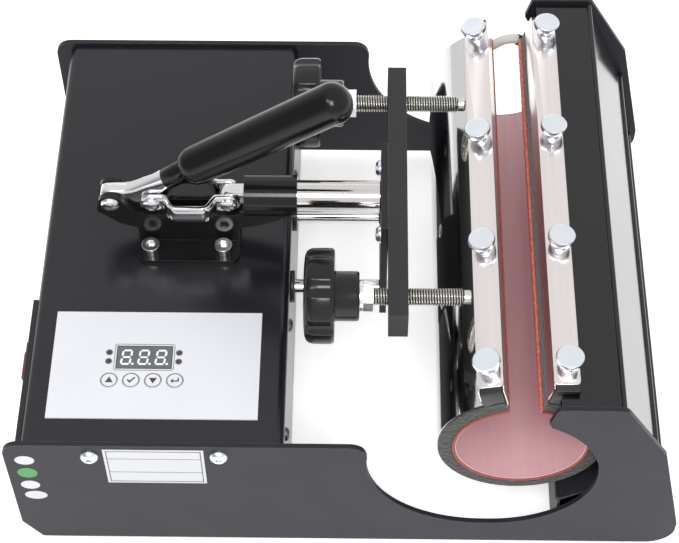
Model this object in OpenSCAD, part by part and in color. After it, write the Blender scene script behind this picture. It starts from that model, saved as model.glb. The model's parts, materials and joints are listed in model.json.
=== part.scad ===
// Cylindrical heat press for mugs and tumblers, lying flat, with its toggle clamp locked.
// Modules are drawn from the lower left corner of the front plate: +X towards the heater,
// +Y towards the rear plate, +Z up. place() moves them to the centre of the base.

/* [Frame plates] */
// Length of each end plate along X
plate_w = 380.5; // [376:0.5:386]
// Outside distance between the two end plates
frame_d = 299; // [297:0.5:303]
// Thickness of the end plates
plate_t = 3; // [2:0.5:4]
// Height of the low side of the plates, over the control box
hump_h = 105.5; // [105.5:0.5:107]
// Height of the high side of the plates, over the heater housing
nose_h = 147; // [147:0.5:149]
// Height of the rubber feet under the plates
foot_h = 6; // [4:0.5:10]

/* [Control box] */
// Left outer face of the control box
box_x0 = 9.6; // [9:0.2:10]
// Right outer face of the control box
box_x1 = 155; // [154:0.5:156]
// Height of the control box's top face
box_top = 102.7; // [102.2:0.1:103]
// Thickness of the sheet metal covers
sheet_t = 1.5; // [1:0.1:1.8]

/* [Heater cuff] */
// Inner radius of the silicone heater mat
mat_r = 36; // [35:0.5:36.5]
// Thickness of the silicone heater mat
mat_t = 2; // [1.5:0.1:2.2]
// Outer radius of the polished steel shell
shell_r = 47; // [46.5:0.1:47]
// Thickness of the polished steel shell
shell_t = 1; // [0.8:0.1:1.5]
// Length of the heater cuff
cuff_len = 270; // [268:0.5:272]
// Half angle of the slot that the mug's handle passes through
slot_half = 14; // [13:0.5:15]

/* [Toggle clamp] */
// Distance from the base pivot to the lever pivot
lever_r = 23.5; // [23:0.1:24]
// Distance between the link's two pivots
link_l = 44.5; // [44:0.1:45]
// Radius of the plunger
plunger_r = 9; // [8:0.5:9]
// Diameter of the moulded handle grip
grip_d = 24; // [20:0.5:26]

/* [Pressure screws] */
// Major radius of the pressure screws
screw_r = 5; // [4.5:0.1:5]
// Outer diameter of the handwheels
wheel_d = 53.6; // [50:0.2:56]
// Number of lobes on a handwheel
wheel_lobes = 7; // [5:1:9]

/* [Hidden] */
$fn = 64;
e = 0.01;                    // overshoot that lets a cut pass right through a face
run = 0.06;                  // radial clearance of a running fit
gap = 0.3;                   // space between faces that move past each other

// End plate outline
chamfer_l = [10, 18];        // lower left chamfer of a plate
cut_z = 21.5;                // lowest point of the plates' round cut-out
cut_l = [267.8, 67.5];       // left arc of the cut-out: centre x and radius
cut_r = [271.9, 57.2];       // right arc of the cut-out: centre x and radius
hump_x = 192;                // where the low side's top edge starts to round over
nose_l = [297.5, 302.5];     // nose: its left side, and where its top edge starts
shoulder = [337, 364, 101];   // upper right chamfer: start x, end x and end z
toe = [plate_w, 23, 16];     // lower right corner: x, height and corner radius
corner_r = 10;               // radius of the hump's corners

// Control box
bend_r = 5;                  // bend radius along the cover's long edges
side_gap = 0.5;              // space between a cover's end and the end plate
cover_y0 = plate_t + side_gap;
cover_y1 = frame_d - plate_t - side_gap;
pan_z = 2;                   // underside of the base pan
pan_wall = 100.5;               // height of the pan's upturned walls
side_screw_z = 85.5;
side_screw_y = [20.6, 94, frame_d - 94, frame_d - 20.6];
plate_screw = [[47.8, 94.8], [119.1, 95.8]];
bolt_r = 2.5;
rating = [55.5, 66, 55.5, 36.4];  // x, z, width and height of the blank rating plate
rating_t = 0.4;

// Heater cuff
cuff_x = 285.6;
cuff_z = 91;
cuff_y0 = 11.5;
felt_r = shell_r - shell_t;
lip_w = 12.5;                // width of a lip across the slot's edge
lip_top = 56.5;              // radius at the top of a lip's block
strip_t = 1.5;               // thickness of a clamp strip
leaf_r = 48.5;               // radius where a strip's inner leaf ends
thumb_y = [26.5, 106.5, 186.5, 266.5];
strip_y0 = cuff_y0 + 3.5;    // the clamp strips end short of the lips
strip_y1 = cuff_y0 + cuff_len - 3.5;
thumb_t = 6.5;               // distance of a thumb screw from the lip's edge
strip_z = 149.3;             // top of the fixed strip
fixed_thumb_x = 307.4;

// Heater housing, steeper than the plate's chamfer so that the plates stand proud on its right
inset = 3.2;
house_x0 = 303.5;
house_z = nose_h - inset;
house_toe = plate_w - 5.4;
house_pts = [[house_x0, house_z], [shoulder[0] - 0.8, house_z], [362.5, 81], [house_toe, 22], [house_toe, 2]];
wall_pts = [[310, 2], [310, 45], [336, 62], [336, 122], [330, 131], [330, house_z - sheet_t - 0.1]];

// Toggle clamp
axis_z = 139.5;              // height of the plunger and of all three pivots when locked
clamp_y = 147.6;             // centre line of the clamp
piv_a = 52;                  // base pivot
piv_b = piv_a + lever_r;     // lever pivot
piv_c = piv_b + link_l;      // plunger pivot
flange_t = 3;
flange_x = [66, 125];
flange_half = 22.6;
ear_in = 4.3;                // half distance between the base's two side plates
ear_out = 7.3;
lever_half = 4;              // half thickness of the lever and of the plunger's tang
link_in = lever_half + gap;
link_t = 2.6;
link_h = 12.5;
joggle = 8.5;                // how far the link's middle stands out
rivet_r = 3;
handle_a = 34.8;             // rise of the handle above the lever
grip_len = 112.5;
grip_s = 41.5;               // distance along the handle where the grip starts
clamp_screw_x = [73.3, 115.8];
clamp_screw_y = 14.6;
barrel = [129, 159.5, 12];   // guide barrel: start x, end x and radius

// Pusher
push_x = 207.5;              // left face of the pusher plate
push_plate_t = 4;
bar_x = push_x + push_plate_t;
bar_t = 11;
bar_h = 20.4;
bar_l = 180;
push_half = 31;              // half width of the pusher plate
push_z0 = 66;
push_screw = [24, 135];      // pusher plate screws: distance from centre, height
guide_r = 4.5;
guide_dy = 26.3;
guide_z = 86;
guide_x0 = 118;
bush_r = 7;

// Pressure screws
screw_dy = 70.2;
screw_tip = 257.9;           // where the thrust tips end
tip_l = 4.5;
tip_r = 4.2;
tip_stem = 2;
thread_pitch = 1.5;
wheel_t = 17;
hub_d = 28;
hub_l = 13.6;
nut_l = 7.5;
wheel_front_x = 165;
wheel_rear_x = 154.6;

// Control panel
panel = [22.5, 19, 117.5, 71];    // x, y, width and depth of the overlay
panel_t = 0.8;
window = [58.7, 51.5, 31.8, 15.5];
key_x = [55.8, 68.1, 80.4, 92.7];
key_y = 44;
key_r = 4.7;
key_gap = 0.3;
led_x = [54.6, 94.1];
led_y = [56.5, 62.4];
led_r = 1.6;
board = [34, 28, 78, 50];

// Power switch and inlet on the left wall
panel_x = box_x0 - 3.2;      // outer face of the switch's tray
tray = [102, 50, 98];        // the tray's rear end, lower and upper edge
switch_c = [63, 78];         // y and z of the switch's centre
switch_s = [21.5, 27];       // opening along y and z
rocker_tilt = 8;
rocker_x = 2.2;              // depth of the rocker's pins inside the tray's face
rocker_pin = 1;
inlet_c = [232, 55];
inlet_s = [28, 20];

// Lead of the heater mat, along its centre line
lead_r = 3;
lead_pts = [
    [248.8, 281.9, 96], [249, 285, 96], [251, 288, 96], [256, 289, 97], [263, 289, 100],
    [271, 289, 106.5], [279, 289, 114.5], [285, 289, 118.8], [291, 289, 120], [296, 289, 118], [301, 289, 114]
];
boot_x = [301, 311];         // the lead's strain relief: where it starts and where its cable goes on

module place() {
    translate([-plate_w / 2, -frame_d / 2, foot_h]) children();
}

// Turns a shape drawn in XY so that it stands in XZ and runs from y0 to y1
module stand(y0, y1) {
    translate([0, y1, 0]) rotate([90, 0, 0]) linear_extrude(height = y1 - y0) children();
}

// Cylinder along X
module rod_x(x0, x1, r, y, z) {
    translate([x0, y, z]) rotate([0, 90, 0]) cylinder(h = x1 - x0, r = r);
}

// Cylinder along Y
module rod_y(y0, y1, r, x, z) {
    translate([x, y0, z]) rotate([-90, 0, 0]) cylinder(h = y1 - y0, r = r);
}

// Sheet of thickness t whose left side follows a line of points
module strip_line(pts, t) {
    for (i = [0 : len(pts) - 2]) {
        d = pts[i + 1] - pts[i];
        a = atan2(d[1], d[0]);
        translate(pts[i]) rotate(a) translate([0, -t]) square([norm(d), t]);
        if (i > 0) translate(pts[i]) circle(r = t, $fn = 24);
    }
}

// ---------- end plates ----------

function arc(c, r, a0, a1, n) = [for (i = [0 : n]) c + r * [cos(a0 + (a1 - a0) * i / n), sin(a0 + (a1 - a0) * i / n)]];

module plate_outline() {
    cl = [cut_l[0], cut_z + cut_l[1]];
    cr = [cut_r[0], cut_z + cut_r[1]];
    a_nose = acos((nose_l[0] + 1.5 - cr[0]) / cut_r[1]);
    a_hump = 180 - asin((95 - cl[1]) / cut_l[1]);
    difference() {
        polygon(concat(
            [[chamfer_l[0], 0], [0, chamfer_l[1]]],
            arc([corner_r, hump_h - corner_r], corner_r, 180, 90, 8),
            arc([hump_x - 1, hump_h - 9], 9, 90, 10, 8),
            arc(cl, cut_l[1], a_hump, 270, 28),
            arc(cr, cut_r[1], -90, a_nose, 40),
            arc([nose_l[0] + 2.5, 133], 2.5, 230, 170, 5),
            arc([nose_l[1] + 1, nose_h - 3], 3, 160, 90, 4),
            arc([shoulder[0] - 3, nose_h - 6], 6, 90, 33, 5),
            [[shoulder[1], shoulder[2]], [toe[0], toe[1]]],
            arc([toe[0] - toe[2], toe[2]], toe[2], 0, -90, 10)
        ));
        for (p = plate_screw) translate(p) circle(r = bolt_r);
    }
}

module front_plate() {
    color([0.13, 0.13, 0.14]) stand(0, plate_t) plate_outline();
}

module rear_plate() {
    color([0.13, 0.13, 0.14]) stand(frame_d - plate_t, frame_d) plate_outline();
}

// Button head screw along +Y with its head below y = 0
module plate_screw_one() {
    difference() {
        rotate([90, 0, 0]) rotate_extrude() polygon([[0, 0], [5.2, 0], [5.2, 0.7], [4.4, 2.3], [3, 3.2], [0, 3.2]]);
        rotate([90, 0, 0]) translate([0, 0, 1.2]) cylinder(h = 3, r = 1.9, $fn = 6);
    }
    rod_y(0, 12, bolt_r, 0, 0);
}

module plate_screws() {
    color([0.75, 0.75, 0.77]) {
        for (p = plate_screw) {
            translate([p[0], 0, p[1]]) plate_screw_one();
            translate([p[0], frame_d, p[1]]) mirror([0, 1, 0]) plate_screw_one();
        }
    }
}

// Thin blank plate on the outside of the front plate
module rating_plate() {
    color([0.72, 0.73, 0.76]) stand(-rating_t, 0) translate([rating[0], rating[1]]) {
        square([rating[2], rating[3]]);
    }
}

// ---------- control box ----------

module cover_profile() {
    x0 = box_x0;
    x1 = box_x1;
    difference() {
        union() {
            translate([x0, 1]) square([x1 - x0, box_top - 1 - bend_r]);
            translate([x0 + bend_r, 1]) square([x1 - x0 - 2 * bend_r, box_top - 1]);
            translate([x0 + bend_r, box_top - bend_r]) circle(r = bend_r);
            translate([x1 - bend_r, box_top - bend_r]) circle(r = bend_r);
        }
        translate([x0 + sheet_t, 0]) square([x1 - x0 - 2 * sheet_t, box_top - bend_r]);
        translate([x0 + bend_r, 0]) square([x1 - x0 - 2 * bend_r, box_top - sheet_t]);
        translate([x0 + bend_r, box_top - bend_r]) circle(r = bend_r - sheet_t);
        translate([x1 - bend_r, box_top - bend_r]) circle(r = bend_r - sheet_t);
    }
}

module box_cover() {
    color([0.12, 0.12, 0.13]) difference() {
        stand(cover_y0, cover_y1) cover_profile();
        // Openings under the display, the indicators and the keys
        translate([window[0] - 1, window[1] - 1, box_top - 3]) cube([window[2] + 2, window[3] + 2, 6]);
        for (x = key_x) translate([x, key_y, box_top - 3]) cylinder(h = 6, r = key_r + 0.6);
        for (x = led_x, y = led_y) translate([x, y, box_top - 3]) cylinder(h = 6, r = led_r + 0.4);
        for (x = clamp_screw_x, s = [-1, 1]) {
            translate([x, clamp_y + s * clamp_screw_y, box_top - 3]) cylinder(h = 6, r = bolt_r);
        }
        for (y = side_screw_y) {
            rod_x(box_x0 - 1, box_x0 + 3, 2, y, side_screw_z);
            rod_x(box_x1 - 3, box_x1 + 1, 2, y, side_screw_z);
        }
        for (s = [-1, 1]) rod_x(box_x1 - 3, box_x1 + 1, bush_r, clamp_y + s * guide_dy, guide_z);
        translate([box_x0 - 1, switch_c[0] - switch_s[0] / 2, switch_c[1] - switch_s[1] / 2])
            cube([4, switch_s[0], switch_s[1]]);
        translate([box_x0 - 1, inlet_c[0] - inlet_s[0] / 2, inlet_c[1] - inlet_s[1] / 2])
            cube([4, inlet_s[0], inlet_s[1]]);
    }
}

// Base pan: floor with two side walls inside the cover and two end flanges behind the plates
module box_base() {
    x0 = box_x0 + sheet_t;
    x1 = box_x1 - sheet_t;
    color([0.16, 0.16, 0.17]) difference() {
        union() {
            translate([x0, plate_t, pan_z]) cube([x1 - x0, frame_d - 2 * plate_t, sheet_t]);
            for (y = [plate_t, frame_d - plate_t - sheet_t]) {
                translate([x0, y, pan_z]) cube([x1 - x0, sheet_t, pan_wall - pan_z]);
            }
            translate([x0, plate_t, pan_z]) cube([sheet_t, frame_d - 2 * plate_t, 24]);
            translate([x1 - sheet_t, plate_t, pan_z]) cube([sheet_t, frame_d - 2 * plate_t, 24]);
            for (x = [x0, x1 - sheet_t], y = side_screw_y) {
                translate([x, y - 7, pan_z]) cube([sheet_t, 14, side_screw_z + 6 - pan_z]);
            }
        }
        for (p = plate_screw, y = [0, frame_d - 8]) rod_y(y, y + 8, bolt_r, p[0], p[1]);
        for (x = [x0 - 1, x1 - 4], y = side_screw_y) rod_x(x, x + 5, 2, y, side_screw_z);
        for (x = [25, 135], y = [30, frame_d - 30]) {
            translate([x, y, pan_z - 1]) cylinder(h = 4, r = 2);
        }
    }
}

module cover_screw_one() {
    difference() {
        rotate([0, -90, 0]) rotate_extrude() polygon([[0, 0], [4, 0], [3.8, 0.9], [2.6, 2], [0, 2.2]]);
        for (a = [0, 90]) rotate([a, 0, 0]) translate([-3, -2, -0.4]) cube([1.7, 4, 0.8]);
    }
    rod_x(0, 9, 2, 0, 0);
}

module cover_screws() {
    color([0.2, 0.2, 0.21]) for (y = side_screw_y) {
        translate([y < tray[0] ? panel_x : box_x0, y, side_screw_z]) cover_screw_one();
        translate([box_x1, y, side_screw_z]) mirror([1, 0, 0]) cover_screw_one();
    }
}

module rubber_foot(x, y) {
    translate([x, y, -foot_h]) difference() {
        union() {
            cylinder(h = foot_h + pan_z, r1 = 9, r2 = 11);
            translate([0, 0, foot_h + pan_z]) cylinder(h = sheet_t + 3, r = 2);
        }
        translate([0, 0, -e]) cylinder(h = 2.5, r = 4);
    }
}

module rubber_feet() {
    color([0.07, 0.07, 0.07]) {
        for (x = [25, 135], y = [30, frame_d - 30]) rubber_foot(x, y);
        for (y = [30, frame_d - 30]) rubber_foot(350, y);
    }
}

// ---------- heater housing ----------

module housing_cover() {
    color([0.12, 0.12, 0.13]) difference() {
        union() {
            stand(cover_y0, cover_y1) strip_line(house_pts, sheet_t);
            // Floor of the housing and the end flanges that are spot-welded to the plates
            translate([310 + sheet_t, cover_y0, pan_z]) {
                cube([house_toe - 310 - sheet_t, cover_y1 - cover_y0, sheet_t]);
            }
            for (y = [plate_t, frame_d - plate_t - sheet_t]) {
                stand(y, y + sheet_t) {
                    polygon([[340, 3], [house_toe - 1, 3], [house_toe - 1, 22], [361.5, 81], [355, 96], [340, 96]]);
                }
            }
        }
        for (y = thumb_y) translate([fixed_thumb_x, y, house_z - 4]) cylinder(h = 8, r = 2.56);
        for (y = [30, frame_d - 30]) translate([350, y, pan_z - 1]) cylinder(h = 4, r = 2);
    }
}

module housing_wall() {
    color([0.09, 0.09, 0.1]) stand(cover_y0, cover_y1) strip_line(wall_pts, sheet_t);
}

// ---------- control panel ----------

module control_overlay() {
    color([0.93, 0.94, 0.96]) translate([0, 0, box_top]) difference() {
        translate([panel[0], panel[1], 0]) cube([panel[2], panel[3], panel_t]);
        translate([window[0], window[1], -1]) cube([window[2], window[3], 4]);
        for (x = key_x) translate([x, key_y, -1]) cylinder(h = 4, r = key_r + key_gap);
        for (x = led_x, y = led_y) translate([x, y, -1]) cylinder(h = 4, r = led_r);
    }
}

module display_window() {
    color([0.35, 0.36, 0.38]) translate([window[0], window[1], box_top - 0.4]) cube([window[2], window[3], 1.2]);
}

module seg_digit(w, h, t, z) {
    bar = w - 2 * t;
    for (k = [0 : 2]) translate([t, k * (h - t) / 2, 0]) cube([bar, t * 0.8, z]);
    for (x = [0, w - t], y = [t, h / 2 + t * 0.4]) translate([x, y, 0]) cube([t * 0.8, h / 2 - 1.6 * t, z]);
    translate([w + 0.6, 0, 0]) cylinder(h = z, r = 0.6, $fn = 24);
}

// Three digit module that stands on the controller board
module led_display() {
    color([0.2, 0.2, 0.22]) {
        translate([window[0] + 0.5, window[1] + 0.5, box_top - 8]) cube([window[2] - 1, window[3] - 1, 6.5]);
        for (k = [0 : 2]) {
            translate([window[0] + 3.4 + k * 9.3, window[1] + 3, box_top - 1.5]) seg_digit(5.6, 9.6, 1.2, 0.6);
        }
    }
}

module controller_board() {
    color([0.1, 0.35, 0.18]) difference() {
        union() {
            translate([board[0], board[1], box_top - 9.6]) cube([board[2], board[3], 1.6]);
            for (x = [board[0] + 4, board[0] + board[2] - 4], y = [board[1] + 4, board[1] + board[3] - 4]) {
                translate([x, y, box_top - 8]) cylinder(h = 8 - sheet_t, r = 3);
            }
        }
        translate([board[0] + 30, board[1] + 4, box_top - 11]) cylinder(h = 4, r = 1.6);
    }
}

module indicator_leds() {
    color([0.25, 0.25, 0.27]) for (x = led_x, y = led_y) {
        translate([x, y, box_top - 7]) cylinder(h = 7 + panel_t, r = led_r);
        translate([x, y, box_top - 8]) cylinder(h = 1, r = led_r + 0.4);
    }
}

// A key cap that stands on the board's switch, level with the overlay
module key_cap(i) {
    color([0.93, 0.94, 0.96]) translate([key_x[i], key_y, 0]) {
        translate([0, 0, box_top - 2]) cylinder(h = 2 + panel_t, r = key_r);
        translate([0, 0, box_top - 7.2]) cylinder(h = 5.3, r = 1.6);
    }
}

module key_up() { key_cap(0); }
module key_ok() { key_cap(1); }
module key_down() { key_cap(2); }
module key_enter() { key_cap(3); }

module power_relay() {
    color([0.85, 0.85, 0.82]) translate([30, 190, pan_z + sheet_t]) {
        cube([60, 45, 4]);
        translate([4, 3, 4]) cube([52, 39, 18]);
    }
}

// ---------- power switch and inlet ----------

// Shallow tray on the cover's left wall, open toward the wall
module side_panel() {
    deep = box_x0 - panel_x;
    long = tray[0] - cover_y0;
    high = tray[2] - tray[1];
    color([0.11, 0.11, 0.12]) difference() {
        translate([panel_x, cover_y0, tray[1]]) cube([deep, long, high]);
        translate([panel_x + sheet_t, cover_y0 + sheet_t, tray[1] + sheet_t]) {
            cube([deep, long - 2 * sheet_t, high - 2 * sheet_t]);
        }
        translate([panel_x - 1, switch_c[0] - switch_s[0] / 2, switch_c[1] - switch_s[1] / 2]) {
            cube([4, switch_s[0], switch_s[1]]);
        }
        for (i = [0, 1]) rod_x(panel_x - 1, panel_x + 3, 2, side_screw_y[i], side_screw_z);
    }
}

module switch_bezel() {
    color([0.08, 0.08, 0.08]) translate([panel_x, switch_c[0], switch_c[1]]) difference() {
        union() {
            translate([-1.6, -switch_s[0] / 2 - 1.8, -switch_s[1] / 2 - 1.8]) {
                cube([1.6, switch_s[0] + 3.6, switch_s[1] + 3.6]);
            }
            translate([0, -switch_s[0] / 2, -switch_s[1] / 2]) cube([20, switch_s[0], switch_s[1]]);
        }
        translate([-3, -switch_s[0] / 2 + 1.4, -switch_s[1] / 2 + 1.4]) {
            cube([13, switch_s[0] - 2.8, switch_s[1] - 2.8]);
        }
        rod_y(-10.3, 10.3, rocker_pin + run, rocker_x, 0);
    }
}

module power_rocker() {
    color([0.75, 0.1, 0.14]) translate([panel_x + rocker_x, switch_c[0], switch_c[1]]) rotate([0, -rocker_tilt, 0]) {
        rod_y(-10, 10, rocker_pin, 0, 0);
        stand(-9, 9) polygon([[-3.9, 11], [-2.2, 0], [-3.9, -11], [3, -8], [4.6, 0], [3, 8]]);
    }
}

module power_inlet() {
    y = inlet_c[0];
    z = inlet_c[1];
    color([0.09, 0.09, 0.09]) difference() {
        union() {
            translate([box_x0 - 2, y - 24, z - 13]) cube([2, 48, 26]);
            translate([box_x0, y - inlet_s[0] / 2, z - inlet_s[1] / 2]) cube([22, inlet_s[0], inlet_s[1]]);
        }
        translate([box_x0 - 3, y - 12, z - 8]) cube([18, 24, 16]);
    }
    color([0.75, 0.7, 0.5]) for (d = [-7, 0, 7]) {
        translate([box_x0 + 2, y + d - 1, z - 2 + (d == 0 ? 3 : -1)]) cube([14, 2, 4]);
    }
}

// ---------- toggle clamp ----------

// One side plate of the clamp base, seen from the front
module clamp_side() {
    difference() {
        union() {
            polygon([
                [flange_x[0], box_top], [flange_x[1], box_top], [flange_x[1], 117.4],
                [136, 120], [148.5, 125.4], [barrel[1] - 2, 133], [barrel[0] - 2, 133], [barrel[0] - 5, 129.5],
                [70, 129.5], [64, 134], [59.5, 141], [45.5, 142], [43.6, 133], [56, 121.6], [flange_x[0], 117.4]
            ]);
            translate([piv_a, axis_z]) circle(r = 7);
        }
        translate([piv_a, axis_z]) circle(r = rivet_r);
    }
}

module clamp_base() {
    color([0.06, 0.06, 0.07]) {
        difference() {
            union() {
                for (s = [-1, 1]) {
                    y0 = s > 0 ? clamp_y + ear_in : clamp_y - ear_out;
                    stand(y0, y0 + ear_out - ear_in) clamp_side();
                    y1 = s > 0 ? clamp_y + ear_in : clamp_y - flange_half;
                    translate([flange_x[0], y1, box_top]) cube([flange_x[1] - flange_x[0], flange_half - ear_in, flange_t]);
                }
                // Guide barrel of the plunger, brazed between the side plates
                rod_x(barrel[0], barrel[1], barrel[2], clamp_y, axis_z);
            }
            rod_x(barrel[0] - 12, barrel[1] + 1, plunger_r + run, clamp_y, axis_z);
            for (x = clamp_screw_x, s = [-1, 1]) {
                translate([x, clamp_y + s * clamp_screw_y, box_top - 1]) cylinder(h = 6, r = bolt_r);
            }
            for (x = flange_x, s = [-1, 1]) translate([x, clamp_y + s * flange_half, box_top - 1]) {
                rotate([0, 0, 45]) cube([5, 5, 12], center = true);
            }
        }
    }
}

module clamp_screw_one() {
    difference() {
        cylinder(h = 5.6, r = 5.2);
        translate([0, 0, 2.6]) cylinder(h = 4, r = 2.9, $fn = 6);
    }
    translate([0, 0, -10]) cylinder(h = 10, r = bolt_r);
}

module clamp_screws() {
    color([0.8, 0.8, 0.82]) for (x = clamp_screw_x, s = [-1, 1]) {
        translate([x, clamp_y + s * clamp_screw_y, box_top + flange_t]) clamp_screw_one();
    }
}

module clamp_nuts() {
    color([0.7, 0.7, 0.72]) for (x = clamp_screw_x, s = [-1, 1]) {
        translate([x, clamp_y + s * clamp_screw_y, box_top - sheet_t - 4]) difference() {
            cylinder(h = 4, r = 4.6, $fn = 6);
            translate([0, 0, -1]) cylinder(h = 6, r = bolt_r);
        }
    }
}

// Lever of the handle: a flat plate from the base pivot through the lever pivot to the grip
module lever_arm() {
    start = 63.4 - piv_a;
    color([0.78, 0.78, 0.8]) translate([piv_a, 0, axis_z]) {
        stand(clamp_y - lever_half, clamp_y + lever_half) difference() {
            union() {
                circle(r = 7);
                translate([0, -6]) square([lever_r, 13]);
                translate([lever_r, 0]) circle(r = 6.6);
                translate([start, 0]) rotate(handle_a) translate([0, -5]) square([grip_s + 20, 11]);
            }
            circle(r = rivet_r + run);
            translate([lever_r, 0]) circle(r = rivet_r);
        }
    }
}

module handle_grip() {
    r = grip_d / 2;
    start = 63.4;
    color([0.05, 0.05, 0.055]) translate([start, clamp_y, axis_z]) rotate([0, 90 - handle_a, 0]) difference() {
        rotate_extrude() difference() {
            union() {
                translate([0, grip_s - 15]) square([7.6, 20]);
                translate([0, grip_s + 7]) square([r, grip_len - 7 - r + 3]);
                translate([0, grip_s]) square([r - 7, 20]);
                translate([r - 7, grip_s + 7]) circle(r = 7);
                translate([0, grip_s + grip_len - r]) scale([1, 1]) circle(r = r);
            }
            translate([-2 * r, 0]) square([2 * r, 3 * grip_len]);
        }
        // Pocket that the flat lever is pressed into
        translate([-6, -lever_half, 0]) cube([11, 2 * lever_half, grip_s + 20]);
    }
}

// Domed rivet along Y, centred on y = 0, whose shank is 2 * half long
module rivet(half, head_r) {
    rotate([90, 0, 0]) {
        translate([0, 0, -half]) cylinder(h = 2 * half, r = rivet_r);
        for (m = [0, 1]) mirror([0, 0, m]) translate([0, 0, half]) {
            rotate_extrude() polygon([[0, 0], [head_r, 0], [head_r - 0.6, 1.4], [rivet_r, 2.2], [0, 2.4]]);
        }
    }
}

module pivot_rivet() {
    color([0.75, 0.75, 0.77]) translate([piv_a, clamp_y, axis_z]) rivet(ear_out, 5.6);
}

module lever_rivet() {
    color([0.75, 0.75, 0.77]) translate([piv_b, clamp_y, axis_z]) rivet(link_in + link_t + 0.1, 5.2);
}

// A link, seen from above: straight at both eyes and joggled outwards in the middle
module link_plan() {
    a = 9;
    b = 15;
    y0 = link_in;
    y1 = link_in + joggle;
    t = link_t;
    polygon([
        [-7, y0], [a, y0], [b, y1], [link_l - b, y1], [link_l - a, y0], [link_l + 7, y0],
        [link_l + 7, y0 + t], [link_l - a + 1, y0 + t], [link_l - b + 1, y1 + t],
        [b - 1, y1 + t], [a - 1, y0 + t], [-7, y0 + t]
    ]);
}

module link_one() {
    difference() {
        intersection() {
            translate([0, 0, -link_h]) linear_extrude(height = 2 * link_h) link_plan();
            stand(-30, 30) union() {
                for (x = [0, link_l]) translate([x, 0]) circle(r = link_h / 2);
                translate([0, -link_h / 2]) square([link_l, link_h]);
            }
        }
        rod_y(0, 20, rivet_r + run, 0, 0);
        rod_y(0, 20, rivet_r, link_l, 0);
    }
}

module toggle_links() {
    color([0.8, 0.8, 0.82]) translate([piv_b, clamp_y, axis_z]) {
        link_one();
        mirror([0, 1, 0]) link_one();
    }
}

// The pivot between links and plunger is left open, so its two rivets end in the links
module link_rivets() {
    color([0.75, 0.75, 0.77]) translate([piv_c, clamp_y, axis_z]) for (m = [0, 1]) mirror([0, m, 0]) {
        rod_y(link_in, link_in + link_t, rivet_r, 0, 0);
        translate([0, link_in + link_t, 0]) rotate([-90, 0, 0]) {
            rotate_extrude() polygon([[0, 0], [5.2, 0], [4.6, 1.4], [rivet_r, 2.2], [0, 2.4]]);
        }
    }
}

module plunger() {
    color([0.8, 0.8, 0.82]) {
        rod_x(barrel[0] + 7, push_x, plunger_r, clamp_y, axis_z);
        rod_x(push_x - 1, push_x + push_plate_t + 6, 5, clamp_y, axis_z);
        stand(clamp_y - lever_half, clamp_y + lever_half) translate([0, axis_z]) {
            translate([piv_c, 0]) circle(r = 6);
            translate([piv_c, -6]) square([barrel[0] + 9 - piv_c, 12]);
        }
    }
}

// ---------- pusher ----------

module pusher_plate() {
    color([0.1, 0.1, 0.11]) difference() {
        translate([push_x, clamp_y - push_half, push_z0]) cube([push_plate_t, 2 * push_half, axis_z + bar_h / 2 - push_z0]);
        rod_x(push_x - 1, bar_x + 1, 5, clamp_y, axis_z);
        for (s = [-1, 1]) {
            rod_x(push_x - 1, bar_x + 1, bolt_r, clamp_y + s * push_screw[0], push_screw[1]);
            rod_x(push_x - 1, bar_x + 1, bolt_r, clamp_y + s * guide_dy, guide_z);
        }
    }
}

module pusher_bar() {
    color([0.2, 0.2, 0.21]) difference() {
        translate([bar_x, clamp_y - bar_l / 2, axis_z - bar_h / 2]) cube([bar_t, bar_l, bar_h]);
        rod_x(bar_x - 1, bar_x + 6, 5, clamp_y, axis_z);
        for (s = [-1, 1]) {
            rod_x(bar_x - 1, bar_x + bar_t + 1, screw_r + run, clamp_y + s * screw_dy, axis_z);
            rod_x(bar_x - 1, bar_x + 8, bolt_r, clamp_y + s * push_screw[0], push_screw[1]);
        }
    }
}

// Round head screw along +X with its head left of x = 0
module pan_screw(len) {
    difference() {
        rotate([0, -90, 0]) rotate_extrude() polygon([[0, 0], [5, 0], [4.6, 1.6], [3.2, 2.9], [0, 3.3]]);
        for (a = [0, 90]) rotate([a, 0, 0]) translate([-4, -2.4, -0.5]) cube([1.9, 4.8, 1]);
    }
    rod_x(0, len, bolt_r, 0, 0);
}

module pusher_screws() {
    color([0.7, 0.7, 0.72]) for (s = [-1, 1]) {
        translate([push_x, clamp_y + s * push_screw[0], push_screw[1]]) pan_screw(11);
        translate([bar_x, clamp_y + s * guide_dy, guide_z]) mirror([1, 0, 0]) pan_screw(12);
    }
}

module guide_rods() {
    color([0.8, 0.8, 0.82]) for (s = [-1, 1]) difference() {
        rod_x(guide_x0, push_x, guide_r, clamp_y + s * guide_dy, guide_z);
        rod_x(push_x - 8, push_x + 1, bolt_r, clamp_y + s * guide_dy, guide_z);
    }
}

module guide_bushes() {
    color([0.05, 0.05, 0.055]) for (s = [-1, 1]) {
        y = clamp_y + s * guide_dy;
        difference() {
            union() {
                rod_x(box_x1 - 14, box_x1 + 2, bush_r, y, guide_z);
                rod_x(box_x1, box_x1 + 2.5, 9.5, y, guide_z);
            }
            rod_x(box_x1 - 20, box_x1 + 6, guide_r + run, y, guide_z);
        }
    }
}

// ---------- pressure screws ----------

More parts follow.
